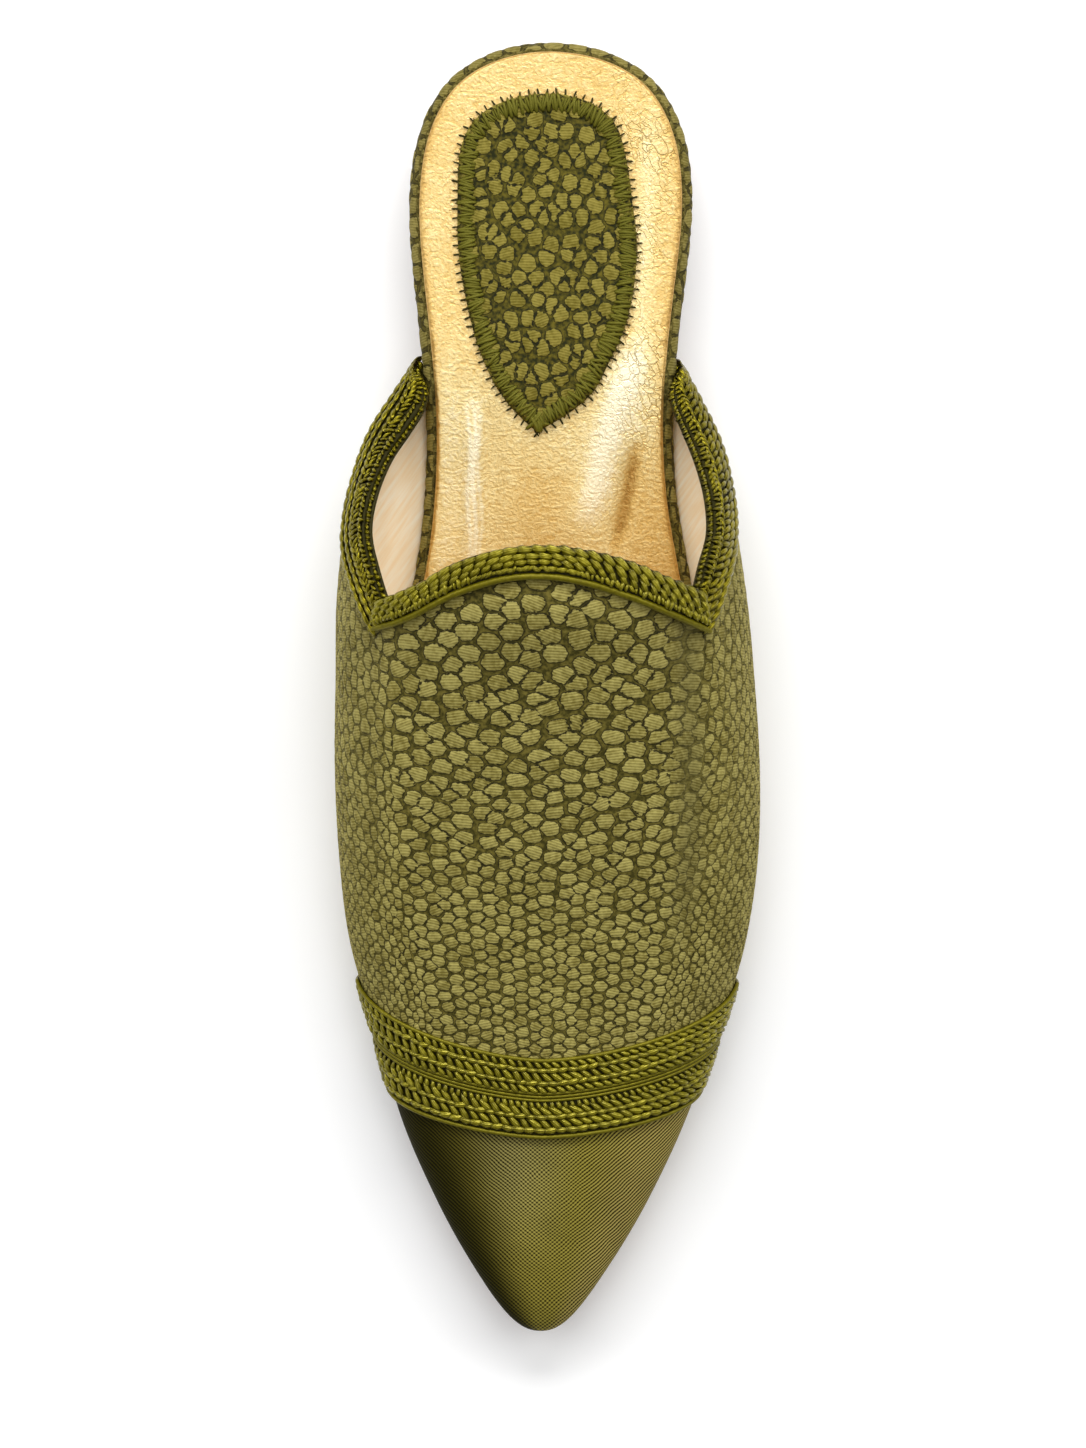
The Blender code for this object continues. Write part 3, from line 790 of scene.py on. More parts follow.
def faced(material, shader, colour, height, strength, depth):
    """Gives a material its colour, and a fine relief of some depth in millimetres."""
    bump = add(material.node_tree, "Bump", Height=height, Strength=strength, Distance=depth * MM)
    plug(shader.inputs["Base Color"], colour)
    plug(shader.inputs["Normal"], bump)
    return material


def ripple(node, value, pitch):
    """A wave between -1 and 1, once in every pitch."""
    turn = node("Math", value, 2 * math.pi / pitch, operation="MULTIPLY")
    return node("Math", turn, operation="SINE")


def new_tree(name, **inputs):
    """A geometry tree with named inputs, what adds a node to it, and the sockets of its inputs."""
    tree = bpy.data.node_groups.new(name, "GeometryNodeTree")
    tree.interface.new_socket(name="Geometry", in_out="OUTPUT", socket_type="NodeSocketGeometry")
    for key, kind in {"Geometry": "Geometry", **inputs}.items():
        tree.interface.new_socket(
            name=key.replace("_", " "), in_out="INPUT", socket_type="NodeSocket" + kind
        )
    node = partial(add, tree)
    return tree, node, node("GroupInput").outputs


def ended(tree, geometry, material):
    """Ends a geometry tree: plain geometry in its own material."""
    real = add(tree, "RealizeInstances", geometry)
    add(tree, "GroupOutput", add(tree, "SetMaterial", real, Material=material))
    return tree


def grown(name, guide, tree, **values):
    """Runs a geometry tree on a guide and keeps the result as a plain mesh object."""
    maker = guide.modifiers.new("maker", "NODES")
    maker.node_group = tree
    for item in tree.interface.items_tree:
        key = item.name.replace(" ", "_")
        if item.in_out == "INPUT" and key in values:
            maker[item.identifier] = values[key]
    graph = bpy.context.evaluated_depsgraph_get()
    mesh = bpy.data.meshes.new_from_object(guide.evaluated_get(graph), depsgraph=graph)
    bpy.data.objects.remove(guide)
    mesh.name = name
    mesh.shade_smooth()
    return made_object(name, mesh)


def scale_cells(node, place, loose, rounding):
    """How deep a point lies inside its scale, and three chances that belong to that scale.

    The scales stand in staggered columns: two square patterns, set half a step apart, make them.
    """
    stretch = math.sqrt(3)
    half_step = (60.5, 20.5, 0.0)
    corner_reach = 0.42
    found = []
    for shift in ((0.0, 0.0, 0.0), half_step):
        spot = node("VectorMath", place, (1.0, 1 / stretch, 0.0), shift, operation="MULTIPLY_ADD")
        values = {"Vector": spot, "Scale": 1.0, "Randomness": loose}
        cell = node("TexVoronoi", voronoi_dimensions="2D", feature="F1", **values)
        rim = node("TexVoronoi", voronoi_dimensions="2D", feature="DISTANCE_TO_EDGE", **values)
        away = node("VectorMath", spot, cell.outputs["Position"], operation="SUBTRACT")
        true_way = node("VectorMath", away, (1.0, stretch, 0.0), operation="MULTIPLY")
        reach = node("VectorMath", true_way, operation="LENGTH")
        found.append((cell.outputs["Color"], rim, true_way, reach))
    (colour, rim, way, reach), (other_colour, other_rim, other_way, other_reach) = found
    other = node("Math", other_reach, reach, operation="LESS_THAN")
    apart = node("VectorMath", way, other_way, operation="DISTANCE")
    less = node("Math", reach, other_reach, operation="SUBTRACT")
    both = node("Math", reach, other_reach, operation="ADD")
    product = node("Math", less, both, operation="MULTIPLY")
    size = node("Math", product, operation="ABSOLUTE")
    twice = node("Math", apart, 2.0, operation="MULTIPLY")
    middle = node("Math", size, twice, operation="DIVIDE")
    own_rim = node("Mix", other, rim, other_rim, data_type="FLOAT")
    edge = node("Math", middle, own_rim, operation="MINIMUM")
    nearest = node("Math", reach, other_reach, operation="MINIMUM")
    far = node("Math", nearest, corner_reach, operation="SUBTRACT")
    corner = node("Math", far, 0.0, operation="MAXIMUM")
    cut = node("Math", corner, rounding, operation="MULTIPLY")
    depth = node("Math", edge, cut, operation="SUBTRACT")
    return depth, node("Mix", other, colour, other_colour, data_type="RGBA")


def scale_relief_tree():
    """Raises each scale of the fabric above the ground between the scales."""
    tree, node, given = new_tree("scale_relief", Relief="Float", Rounding="Float", Material="Material")
    place = node("InputNamedAttribute", "scale_place", data_type="FLOAT_VECTOR")
    shown = node("InputNamedAttribute", "relief", data_type="FLOAT")
    loose = node("InputNamedAttribute", "loose", data_type="FLOAT")
    depth, _ = scale_cells(node, place, loose, given["Rounding"])
    dome = node("MapRange", depth, 0.01, 0.2, interpolation_type="SMOOTHSTEP")
    seen = node("Math", dome, shown, operation="MULTIPLY")
    raised = node("Math", seen, given["Relief"], operation="MULTIPLY")
    offset = node("VectorMath", node("InputNormal"), raised, operation="SCALE")
    moved = node("SetPosition", given["Geometry"], Offset=offset)
    return ended(tree, moved, given["Material"])


def strand_row_tree():
    """Sets one strand after another along a guide line, each turned to the line and the surface."""
    tree, node, given = new_tree(
        "strand_row", Strand="Object", Pitch="Float", Size="Vector", Slant="Float", Wobble="Float",
        Size_wobble="Float", Seed="Int", Material="Material"
    )
    line = node("MeshToCurve", given["Geometry"])
    even_line = node("ResampleCurve", Curve=line, Length=given["Pitch"], mode="LENGTH")
    tangent = node("InputTangent")
    up = node("InputNamedAttribute", "up", data_type="FLOAT_VECTOR")
    standing = node("AlignRotationToVector", Vector=up, axis="Z")
    turned = node("AlignRotationToVector", Rotation=standing, Vector=tangent, axis="X", pivot_axis="Z")
    least = node("Math", given["Wobble"], -1.0, operation="MULTIPLY")
    sway = node("RandomValue", least, given["Wobble"], Seed=given["Seed"], data_type="FLOAT")
    side = node("InputNamedAttribute", "side", data_type="FLOAT")
    slant = node("Math", given["Slant"], side, sway, operation="MULTIPLY_ADD")
    about = node("AxisAngleToRotation", Axis=(0.0, 0.0, 1.0), Angle=slant)
    laid = node("RotateRotation", Rotation=turned, Rotate_By=about, rotation_space="LOCAL")
    smallest = node("Math", 1.0, given["Size wobble"], operation="SUBTRACT")
    largest = node("Math", 1.0, given["Size wobble"], operation="ADD")
    seed_step = 17.0
    second_seed = node("Math", given["Seed"], seed_step, operation="ADD")
    vary = node("RandomValue", smallest, largest, Seed=second_seed, data_type="FLOAT")
    size = node("VectorMath", given["Size"], vary, operation="SCALE")
    strand = node("ObjectInfo", Object=given["Strand"])
    laid_out = node(
        "InstanceOnPoints", Points=even_line, Instance=strand.outputs["Geometry"], Rotation=laid,
        Scale=size
    )
    tone = node("RandomValue", 0.0, 1.0, Seed=given["Seed"], data_type="FLOAT")
    toned = node(
        "StoreNamedAttribute", laid_out, Name="strand_tone", Value=tone, data_type="FLOAT",
        domain="INSTANCE"
    )
    return ended(tree, toned, given["Material"])


def cord_tree():
    """A smooth round cord along a guide line."""
    tree, node, given = new_tree("sewn_cord", Radius="Float", Material="Material")
    line = node("MeshToCurve", given["Geometry"])
    ring = node("CurvePrimitiveCircle", Resolution=10, Radius=given["Radius"])
    tube = node("CurveToMesh", Curve=line, Profile_Curve=ring, Fill_Caps=True)
    return ended(tree, tube, given["Material"])


def guide_line(parts):
    """Lines of points in millimetres. A part is its points, the way off the surface, and its lean."""
    mesh = bpy.data.meshes.new("guide")
    links, first = [], 0
    for points, _, _ in parts:
        links += [(i, i + 1) for i in range(first, first + len(points) - 1)]
        first += len(points)
    points, ups, sides = (np.concatenate(values) for values in zip(*parts))
    mesh.from_pydata(((points + (CENTRE_SHIFT, 0, 0)) * MM).tolist(), links, [])
    keep(mesh, "up", ups)
    keep(mesh, "side", sides)
    return made_object("guide", mesh)


def strand_form(name, shape, rings, sides):
    """A small closed form of unit size, from a function of the way along it and the turn round it."""
    points = [(-0.5, 0.0, 0.0)]
    for r in range(1, rings):
        for s in range(sides):
            points.append(shape(r / rings, 2 * math.pi * s / sides))
    points.append((0.5, 0.0, 0.0))
    last = len(points) - 1
    faces = [(0, 1 + (s + 1) % sides, 1 + s) for s in range(sides)]
    for r in range(rings - 2):
        for s in range(sides):
            a, b = 1 + r * sides + s, 1 + r * sides + (s + 1) % sides
            faces.append((a, b, b + sides, a + sides))
    faces += [(last, last - sides + s, last - sides + (s + 1) % sides) for s in range(sides)]
    mesh = bpy.data.meshes.new(name)
    mesh.from_pydata(points, [], faces)
    keep(mesh, "strand_place", points)
    mesh.shade_smooth()
    form = made_object(name, mesh)
    form.hide_render = True
    return form


def lobe_shape(way, turn):
    """A leaf-like lobe of plaited cord: broad, its first end tucked down and its far end raised."""
    full = 0.5 * math.sin(math.pi * way) ** 0.8
    bend = 0.1 * math.sin(2 * math.pi * way)
    tuck = 0.4 * (way - 0.5)
    return (way - 0.5, full * math.cos(turn) + bend, full * math.sin(turn) + tuck)


def thread_shape(way, turn):
    """A thread that rises from the cloth at one end and sinks into it at the other."""
    full = 0.5 * min(1.0, 6 * way, 6 * (1 - way)) ** 0.5
    arch = 0.6 * math.sin(math.pi * way)
    return (way - 0.5, full * math.cos(turn), full * math.sin(turn) + arch)


# Materials

def scale_fabric(name, thread, pale_thread, ground, shadow, rounding, groove, scallop):
    """Silk and cotton jacquard: raised islands of satin-laid thread, duller ground between them.

    The eye sees striped olive scales with ragged ends and a thin dark edge on a speckled ground. The
    threads are drawn coarser than they are, or they would be too fine to see.
    """
    thread_pitch = 0.58
    speckle_size = 0.9
    material, node, shader = new_material(name, Roughness=0.75, Specular_IOR_Level=0.18)
    place = node("Attribute", attribute_name="scale_place").outputs["Vector"]
    nap, fade, loose = (
        node("Attribute", attribute_name=key).outputs["Fac"] for key in ("nap", "fade", "loose")
    )
    spot = node("TexCoord").outputs["Object"]
    depth, cell_chance = scale_cells(node, place, loose, rounding)
    chance = node("SeparateColor", cell_chance)
    tilt = node("MapRange", chance.outputs[0], To_Min=-0.4, To_Max=0.4)
    lay = node("CombineXYZ", tilt, 1.0, 0.0)
    across = node("VectorMath", spot, lay, operation="DOT_PRODUCT")
    count = node("Math", across, 1 / (thread_pitch * MM), operation="MULTIPLY")
    start = node("Math", chance.outputs[1], 40.0, count, operation="MULTIPLY_ADD")
    number = node("Math", start, operation="FLOOR")
    one_thread = node("TexWhiteNoise", number, noise_dimensions="1D")
    ragged = node("MapRange", one_thread, To_Min=-0.055, To_Max=0.045)
    sized = node("Math", chance.outputs[1], -0.04, depth, operation="MULTIPLY_ADD")
    speckle = node("TexNoise", spot, Scale=1 / (speckle_size * MM), Detail=3.0)
    wavy = node("MapRange", speckle, To_Min=-scallop / 2, To_Max=scallop / 2)
    frayed = node("Math", ragged, wavy, operation="ADD")
    worn = node("Math", sized, frayed, operation="ADD")
    island = node("MapRange", worn, groove - 0.03, groove + 0.03, interpolation_type="SMOOTHSTEP")
    wave = ripple(node, start, 1.0)
    fleck = node("MapRange", speckle, 0.3, 0.7, -0.3, 0.55)
    lit = node("Math", wave, 0.26, fleck, operation="MULTIPLY_ADD")
    toned = node("Math", chance.outputs[2], 0.5, lit, operation="MULTIPLY_ADD")
    sewn = node("Math", toned, 0.15, operation="ADD", use_clamp=True)
    silk = node("Mix", sewn, thread, pale_thread, data_type="RGBA")
    spotted = node("MapRange", speckle, 0.38, 0.68)
    weave = node("Mix", spotted, ground, thread, data_type="RGBA")
    under = node("MapRange", worn, groove - 0.13, groove - 0.02)
    edged = node("Mix", under, weave, shadow, data_type="RGBA")
    shown = node("Mix", fade, island, 0.6, data_type="FLOAT")
    woven = node("Mix", shown, edged, silk, data_type="RGBA")
    # Painted light and shade: the cloth is painted paler on the vamp's ridges and flanks, darker in its
    # troughs.
    paler = node("Math", nap, 1.0, operation="ADD")
    colour = node("VectorMath", woven, paler, operation="SCALE")
    ridge = node("Math", wave, 0.3, 1.0, operation="MULTIPLY_ADD")
    raised = node("Math", island, ridge, operation="MULTIPLY")
    return faced(material, shader, colour, raised, strength=0.6, depth=0.14)


def satin_twill():
    """Silk satin with a twill rib, painted dark on the left flank as shade and golden on the right as
    light.

    The eye sees fine ribs that slant away from the middle, cloudy olive tones and a painted highlight. The
    ribs are drawn coarser than they are, or they would be too fine to see.
    are drawn coarser than they are, or they would be too fine to see.
    """
    rib_pitch = 0.8
    gleam_at = -0.1
    material, node, shader = new_material("satin_twill", Roughness=0.6, Specular_IOR_Level=0.05)
    place = node("Attribute", attribute_name="twill_place").outputs["Vector"]
    part = node("SeparateXYZ", place)
    drift = node("TexNoise", place, Scale=0.15, Detail=2.0)
    down = node("Math", drift, 1.2, part.outputs["Y"], operation="MULTIPLY_ADD")
    fall = node("Math", part.outputs["X"], 0.85, down, operation="MULTIPLY_ADD")
    climb = node("Math", part.outputs["X"], -0.85, down, operation="MULTIPLY_ADD")
    rib = ripple(node, fall, rib_pitch)
    weft = ripple(node, climb, rib_pitch)
    side = node("MapRange", part.outputs["X"], -12.0, 12.0, 0.15, 0.85)
    crossed = node("Mix", side, weft, rib, data_type="FLOAT")
    level = node("MapRange", crossed, -0.75, 0.75)
    # Painted shade: the left flank darkens towards its edge, under a cloudy random tone.
    turned = node("MapRange", part.outputs["Z"], -0.72, 0.0, interpolation_type="SMOOTHSTEP")
    painted_flank_light = node("Math", turned, 1.6, operation="POWER")
    cloud = node("TexNoise", place, Scale=0.085, Detail=3.0)
    cloudy = node("MapRange", cloud, 0.3, 0.7, -0.26, 0.16)
    seen = node("Math", painted_flank_light, cloudy, painted_flank_light, operation="MULTIPLY_ADD", use_clamp=True)
    dark = node("Mix", seen, "0C0B00", "1F1B00", data_type="RGBA")
    light = node("Mix", seen, "332F04", "A2953E", data_type="RGBA")
    # Painted highlight a little left of the middle, fading towards the tip.
    from_gleam = node("Math", part.outputs["Z"], gleam_at, operation="SUBTRACT")
    apart = node("Math", from_gleam, operation="ABSOLUTE")
    gleam = node("MapRange", apart, 0.0, 0.32, 0.24, 0.0, interpolation_type="SMOOTHSTEP")
    upper = node("MapRange", part.outputs["Y"], 234.0, 258.0, 1.0, 0.0, interpolation_type="SMOOTHSTEP")
    shine = node("Math", gleam, upper, operation="MULTIPLY")
    light = node("Mix", shine, light, "CFC58C", data_type="RGBA")
    # Painted light: the right flank is painted lighter and more golden.
    painted_right_light = node("MapRange", part.outputs["Z"], 0.15, 0.6, 0.0, 0.4, interpolation_type="SMOOTHSTEP")
    light = node("Mix", painted_right_light, light, "C6B070", data_type="RGBA")
    ribbed = node("Mix", level, dark, light, data_type="RGBA")
    return faced(material, shader, ribbed, level, strength=0.4, depth=0.1)


def plaited_silk(name, deep, bright, roughness, metallic=0.45):
    """Mercerised silk cord: fine twisted filaments whose gloss carries the thread's own colour.

    The eye sees bright upper edges on each strand, which are painted light, and deep olive low down, which
    is painted shade where the strands tuck under. The filaments are drawn coarser than they are.
    """
    filament_pitch = 0.25
    material, node, shader = new_material(
        name, Roughness=roughness, Metallic=metallic, Specular_IOR_Level=0.4
    )
    place = node("Attribute", attribute_name="strand_place").outputs["Vector"]
    tone = node("Attribute", attribute_name="strand_tone").outputs["Fac"]
    part = node("SeparateXYZ", place)
    twist = node("Math", part.outputs["X"], 0.3, part.outputs["Y"], operation="MULTIPLY_ADD")
    filament = ripple(node, twist, filament_pitch)
    # Painted light and shade: each strand is painted bright towards its top and deep low down.
    lift = node("MapRange", part.outputs["Z"], 0.0, 0.68)
    shade = node("Math", tone, 0.3, lift, operation="MULTIPLY_ADD")
    fine = node("Math", filament, 0.16, shade, operation="MULTIPLY_ADD", use_clamp=True)
    colour = node("Mix", fine, deep, bright, data_type="RGBA")
    return faced(material, shader, colour, filament, strength=0.35, depth=0.1)


def twisted_cord(name, deep, bright, roughness):
    """A smooth gimp cord: silk wound over a core, so that it gleams in one long line."""
    winding_size = 0.7
    material, node, shader = new_material(name, Roughness=roughness, Metallic=0.4, Specular_IOR_Level=0.25)
    spot = node("TexCoord").outputs["Object"]
    winding = node("TexNoise", spot, Scale=1 / (winding_size * MM), Detail=2.0)
    colour = node("Mix", winding, deep, bright, data_type="RGBA")
    return faced(material, shader, colour, winding, strength=0.3, depth=0.1)


def gilt_leather():
    """Foil-coated sheepskin: a thin gold film that follows every crinkle of the skin.

    The eye sees a pale metal gleam with painted highlights and painted shade, a pebbled grain, and thin
    creases on the right side. The grain is drawn coarser than it is, or it would be too fine to see.
    """
    grain_size = 0.62
    wrinkle_size = (2.4, 0.9, 1.0)
    crease_size = (1.6, 5.0, 1.0)
    bend_size = 7.0
    cloud_size = 16.0
    material, node, shader = new_material("gilt_leather", Metallic=0.55, Roughness=0.36)
    spot = node("TexCoord").outputs["Object"]
    gleam, creased = (
        node("Attribute", attribute_name=key).outputs["Fac"] for key in ("gleam", "creased")
    )
    warp = node("TexNoise", spot, Scale=1 / (bend_size * MM), Detail=3.0)
    push = node("VectorMath", warp.outputs["Color"], bend_size * MM, operation="SCALE")
    bent = node("VectorMath", spot, push, operation="ADD")
    grain = node("TexNoise", spot, Scale=1 / (grain_size * MM), Detail=3.0)
    drawn = node("Mapping", bent, Scale=[1 / (size * MM) for size in wrinkle_size])
    line = node("TexNoise", drawn, Scale=1.0, Detail=2.0)
    skin = node("Math", line, 0.8, grain, operation="MULTIPLY_ADD")
    pulled = node(
        "Mapping", bent, Rotation=(0.0, 0.0, math.radians(24)),
        Scale=[size * MM for size in crease_size], vector_type="TEXTURE"
    )
    crack = node("TexVoronoi", pulled, Scale=1.0, feature="DISTANCE_TO_EDGE")
    sunk = node("MapRange", crack, 0.0, 0.085, 1.0, 0.0, interpolation_type="SMOOTHSTEP")
    cloud = node("TexNoise", spot, Scale=1 / (cloud_size * MM), Detail=2.0)
    patchy = node("MapRange", cloud, 0.4, 0.62, 0.08, 1.0)
    drawn_in = node("Math", creased, patchy, operation="MULTIPLY")
    fold = node("Math", sunk, drawn_in, operation="MULTIPLY")
    height = node("Math", fold, -0.6, skin, operation="MULTIPLY_ADD")
    # The skin's tone follows its height: partly its own grain and partly painted shade, darker in pits and
    # creases.
    fleck = node("MapRange", height, 0.6, 1.2, -0.16, 0.16)
    mottled = node("MapRange", cloud, 0.3, 0.7, -0.06, 0.06)
    toned = node("Math", fleck, mottled, operation="ADD")
    # Gleam is the foil's own tone with painted highlights and painted shade laid on it.
    bright = node("Math", toned, gleam, operation="ADD", use_clamp=True)
    ramp = node("ValToRGB", bright)
    stops = ramp.color_ramp.elements
    stops[0].color = linear("A57830")
    stops[1].color = linear("FFF3CF")
    for at, shade in ((0.35, "DAB468"), (0.65, "F0D899")):
        stops.new(at).color = linear(shade)
    return faced(material, shader, ramp, height, strength=0.9, depth=0.2)


def lining_leather():
    """Undyed goatskin lining: pale, with a soft pile and faint streaks from the currier's slicker."""
    streak_size = (0.7, 9.0, 14.0)
    material, node, shader = new_material(
        "lining_leather", Roughness=0.7, Specular_IOR_Level=0.2, Sheen_Weight=0.7, Sheen_Roughness=0.6,
        Sheen_Tint="FFE9C8"
    )
    spot = node("TexCoord").outputs["Object"]
    drawn = node(
        "Mapping", spot, Rotation=(0.0, 0.0, math.radians(-34)),
        Scale=[size * MM for size in streak_size], vector_type="TEXTURE"
    )
    streak = node("TexNoise", drawn, Scale=1.0, Detail=3.0)
    drawn_out = node("MapRange", streak, 0.35, 0.68)
    colour = node("Mix", drawn_out, "FAE4BE", "FFF6E0", data_type="RGBA")
    return faced(material, shader, colour, streak, strength=0.25, depth=0.15)


def sole_leather(name, dark, light):
    """Vegetable-tanned sole leather: fibrous, with a waxed and slightly streaked surface."""
    fibre_size = (6.0, 6.0, 0.6)
    material, node, shader = new_material(name, Roughness=0.5)
    spot = node("TexCoord").outputs["Object"]
    layered = node("Mapping", spot, Scale=[1 / (size * MM) for size in fibre_size])
    fibre = node("TexNoise", layered, Scale=1.0, Detail=5.0)
    colour = node("Mix", fibre, dark, light, data_type="RGBA")
    return faced(material, shader, colour, fibre, strength=0.3, depth=0.2)


# Pieces

def finished(piece, replaces=()):
    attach(piece, "root")
    if replaces:
        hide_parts(*replaces)
    return piece


def girth_place(root, angle):
    """Distance round the section from the crest, and the girth from widest to widest."""
    first_root, sections, spokes = 0.5, 90, 145
    roots = np.linspace(first_root, LAST_ROOTS[-1], sections)
    angles = np.linspace(-180, 180, spokes)
    ring = last_point(*np.meshgrid(roots, angles, indexing="ij"))
    step = np.linalg.norm(np.diff(ring, axis=1), axis=-1)
    run = np.concatenate([np.zeros((len(roots), 1)), np.cumsum(step, axis=1)], axis=1)
    run -= run[:, [len(angles) // 2]]
    quarter = len(angles) // 4
    girth = run[:, 3 * quarter] - run[:, quarter]
    r = np.clip(np.searchsorted(roots, root) - 1, 0, len(roots) - 2)
    a = np.clip(np.searchsorted(angles, angle) - 1, 0, len(angles) - 2)
    u = (root - roots[r]) / (roots[r + 1] - roots[r])
    v = (angle - angles[a]) / (angles[a + 1] - angles[a])
    low = run[r, a] * (1 - v) + run[r, a + 1] * v
    high = run[r + 1, a] * (1 - v) + run[r + 1, a + 1] * v
    return low * (1 - u) + high * u, np.interp(root, roots, girth)


def scale_place(root, angle):
    """Place in the scale pattern, in cells: along the shoe, then round it."""
    across, girth = girth_place(root, angle)
    beyond = np.maximum(np.abs(across) - FLANK * girth / 2, 0)
    across = across + FLANK_STRETCH * np.sign(across) * beyond
    station = LENGTH - root**2
    known = column(CELLS, "station")
    fineness = 400
    stations = np.linspace(known[0], known[-1], fineness)
    steps = np.diff(stations) / curve(known, column(CELLS, "height"), stations[1:])
    down = np.interp(station, stations, np.concatenate([[0], np.cumsum(steps)]))
    along = across / curve(known, column(CELLS, "width"), station)
    return np.stack([down, along, 0 * along], axis=-1)


def vamp_fold(root, angle, name):
    """Sum of one value over the vamp's folds."""
    station = LENGTH - root**2
    total = 0 * root
    for fold in VAMP_FOLDS:
        run = smooth((station - fold.start) / FOLD_RISE) * smooth((fold.end - station) / FOLD_FALL)
        total += getattr(fold, name) * np.exp(-(((angle - fold.angle) / fold.half_width) ** 2)) * run
    return total


def upper_columns(columns, rows, first_line, tuck):
    """Roots and angles of the upper from a line across the toe to the collar."""
    share = np.linspace(-1, 1, columns)
    station, edge_angle = collar_line(share, "edge_station", "edge_angle")
    place = np.abs(share)
    below = (np.maximum(place, WIDEST_SHARE) - WIDEST_SHARE) / (1 - WIDEST_SHARE)
    toe_angle = 90 * (np.minimum(place, WIDEST_SHARE) / WIDEST_SHARE + below) * np.sign(share)
    start = np.sqrt(LENGTH - toe_line_station(first_line, toe_angle) - tuck)
    edge = np.sqrt(LENGTH - station)
    way = np.linspace(0, 1, rows)[:, None] ** ROW_CROWDING
    root = start + (edge - start) * way
    angle = toe_angle + (edge_angle - toe_angle) * (root / edge) ** COLUMN_BEND
    return root, angle, way


def make_upper(material, relief):
    """The scale fabric of vamp and quarters. On the flanks its scales are more even, with painted light.
    """
    root, angle, way = upper_columns(*UPPER_GRID, BRAID_SPLIT, UPPER_TUCK)
    hem = smooth((1 - way) / COLLAR_HEM) * smooth(way / TOE_HEM) + 0 * root
    coarse_root, coarse_angle, _ = upper_columns(*UPPER_INSIDE_GRID, BRAID_SPLIT, UPPER_TUCK)
    outside = lifted(root, angle, vamp_fold(root, angle, "lift"))
    inside = lifted(coarse_root, coarse_angle, -FABRIC_SHARE * wall_at(coarse_root))
    flank = np.abs(angle)
    calm = np.maximum(eased(flank, *CALM_ANGLES), TOE_CALM * eased(LENGTH - root**2, *CALM_STATIONS))
    attributes = {
        "scale_place": scale_place(root, angle),
        "relief": hem,
        "loose": CELL_JITTER * (1 - FLANK_CALM * calm),
        # Painted light and shade of the vamp's folds and flanks.
        "nap": vamp_fold(root, angle, "nap") + FLANK_PAINTED_LIGHT * eased(flank, *PAINTED_LIGHT_ANGLES),
        "fade": vamp_fold(root, angle, "fade") + FLANK_FADE * eased(flank, *FADE_ANGLES),
    }
    plain = wall("upper_plain", outside, inside, attributes, None)
    fabric = grown(
        "upper_fabric", plain, relief, Relief=SCALE_RELIEF * MM, Rounding=CELL_ROUNDING, Material=material
    )
    finished(fabric, ["upper"])


def make_lining(material):
    """The lining leather, skived thin towards the collar."""
    toe = ToeLine(LENGTH - LINING_END, 0.0)
    root, angle, way = upper_columns(*LINING_GRID, toe, 0.0)
    thickness = wall_at(root) * (1 - LINING_SKIVE * smooth((way - 1 + SKIVE_SHARE) / SKIVE_SHARE))
    outside = lifted(root, angle, -LINING_SHARE * wall_at(root))
    finished(wall("lining", outside, lifted(root, angle, -thickness), {}, material))


def make_toe_cap(material):
    columns, rows = CAP_GRID
    across = np.linspace(-180, 180, columns)[None, :]
    way = np.linspace(CAP_TIP, 1, rows)[:, None]
    root = np.sqrt(LENGTH - toe_line_station(BRAID_FRONT, across) + CAP_TUCK) * way
    angle = np.broadcast_to(across, root.shape)
    girth, _ = girth_place(root, angle)
    place = np.stack([girth, LENGTH - root**2, angle / 90], axis=-1)
    outside, inside = (lifted(root, angle, lift) for lift in (0.0, -CAP_WALL))
    cap = wall("toe_cap_satin", outside, inside, {"twill_place": place}, material)
    finished(cap, ["toe_cap"])


def braid_ground(name, places, low, high, kit, node):
    """The woven ground of a braid, which the strands are plaited over and which keeps its form."""
    root, angle = (np.stack(grid) for grid in zip(*places))
    band = wall(name, lifted(root, angle, high), lifted(root, angle, low), {}, kit["ground"])
    finished(band, [node])


def sewn_row(name, guide, row_tree, row, form, size_wobble, seed, material):
    """One row of strands along a guide line."""
    return grown(
        name, guide, row_tree, Strand=form, Pitch=row.pitch * MM,
        Size=(row.length * MM, row.width * MM, row.height * MM), Slant=math.radians(row.slant),
        Wobble=math.radians(row.wobble), Size_wobble=size_wobble, Seed=seed, Material=material
    )


def lay_rows(prefix, rows, line_at, lift, form, row_tree, material, seed):
    for number, row in enumerate(rows):
        piece = sewn_row(
            f"{prefix}_{row.name}", guide_line(line_at(row.across, lift)), row_tree, row, form,
            SIZE_WOBBLE + row.wobble / WOBBLE_TO_SIZE, seed + number, material
        )
        finished(piece)


def lay_cords(prefix, cords, line_at, lift, tree, material):
    for number, (across, radius) in enumerate(cords):
        guide = guide_line(line_at(across, lift))
        piece = grown(f"{prefix}_cord_{number + 1}", guide, tree, Radius=radius * MM, Material=material)
        finished(piece)


def make_toe_braid(name, back, front, rows, cords, kit, seed):
    def place(across, count):
        angle = np.linspace(-BRAID_LOWEST_ANGLE, BRAID_LOWEST_ANGLE, count)
        first = toe_line_station(back, angle)
        last = toe_line_station(front, angle)
        return np.sqrt(LENGTH - (first + (last - first) * across)), angle

    def line_at(across, lift):
        root, angle = place(across, LINE_POINTS)
        lean = 1 - SLANT_EASE * smooth(angle / SLANT_EASE_ANGLE)
        return [(lifted(root, angle, lift), last_normal(root, angle), lean)]

    ways = np.linspace(GROUND_MARGIN, 1 - GROUND_MARGIN, GROUND_ROWS)
    places = [place(way, GROUND_POINTS) for way in ways]
    braid_ground(name + "_ground", places, GAP, GAP + TOE_GROUND, kit, name)
    lay_rows(name, rows, line_at, GAP + TOE_ROW_LIFT, kit["lobe"], kit["row"], kit["silk"], seed)
    lay_cords(name, cords, line_at, GAP + TOE_CORD_LIFT, kit["cord"], kit["gimp"])


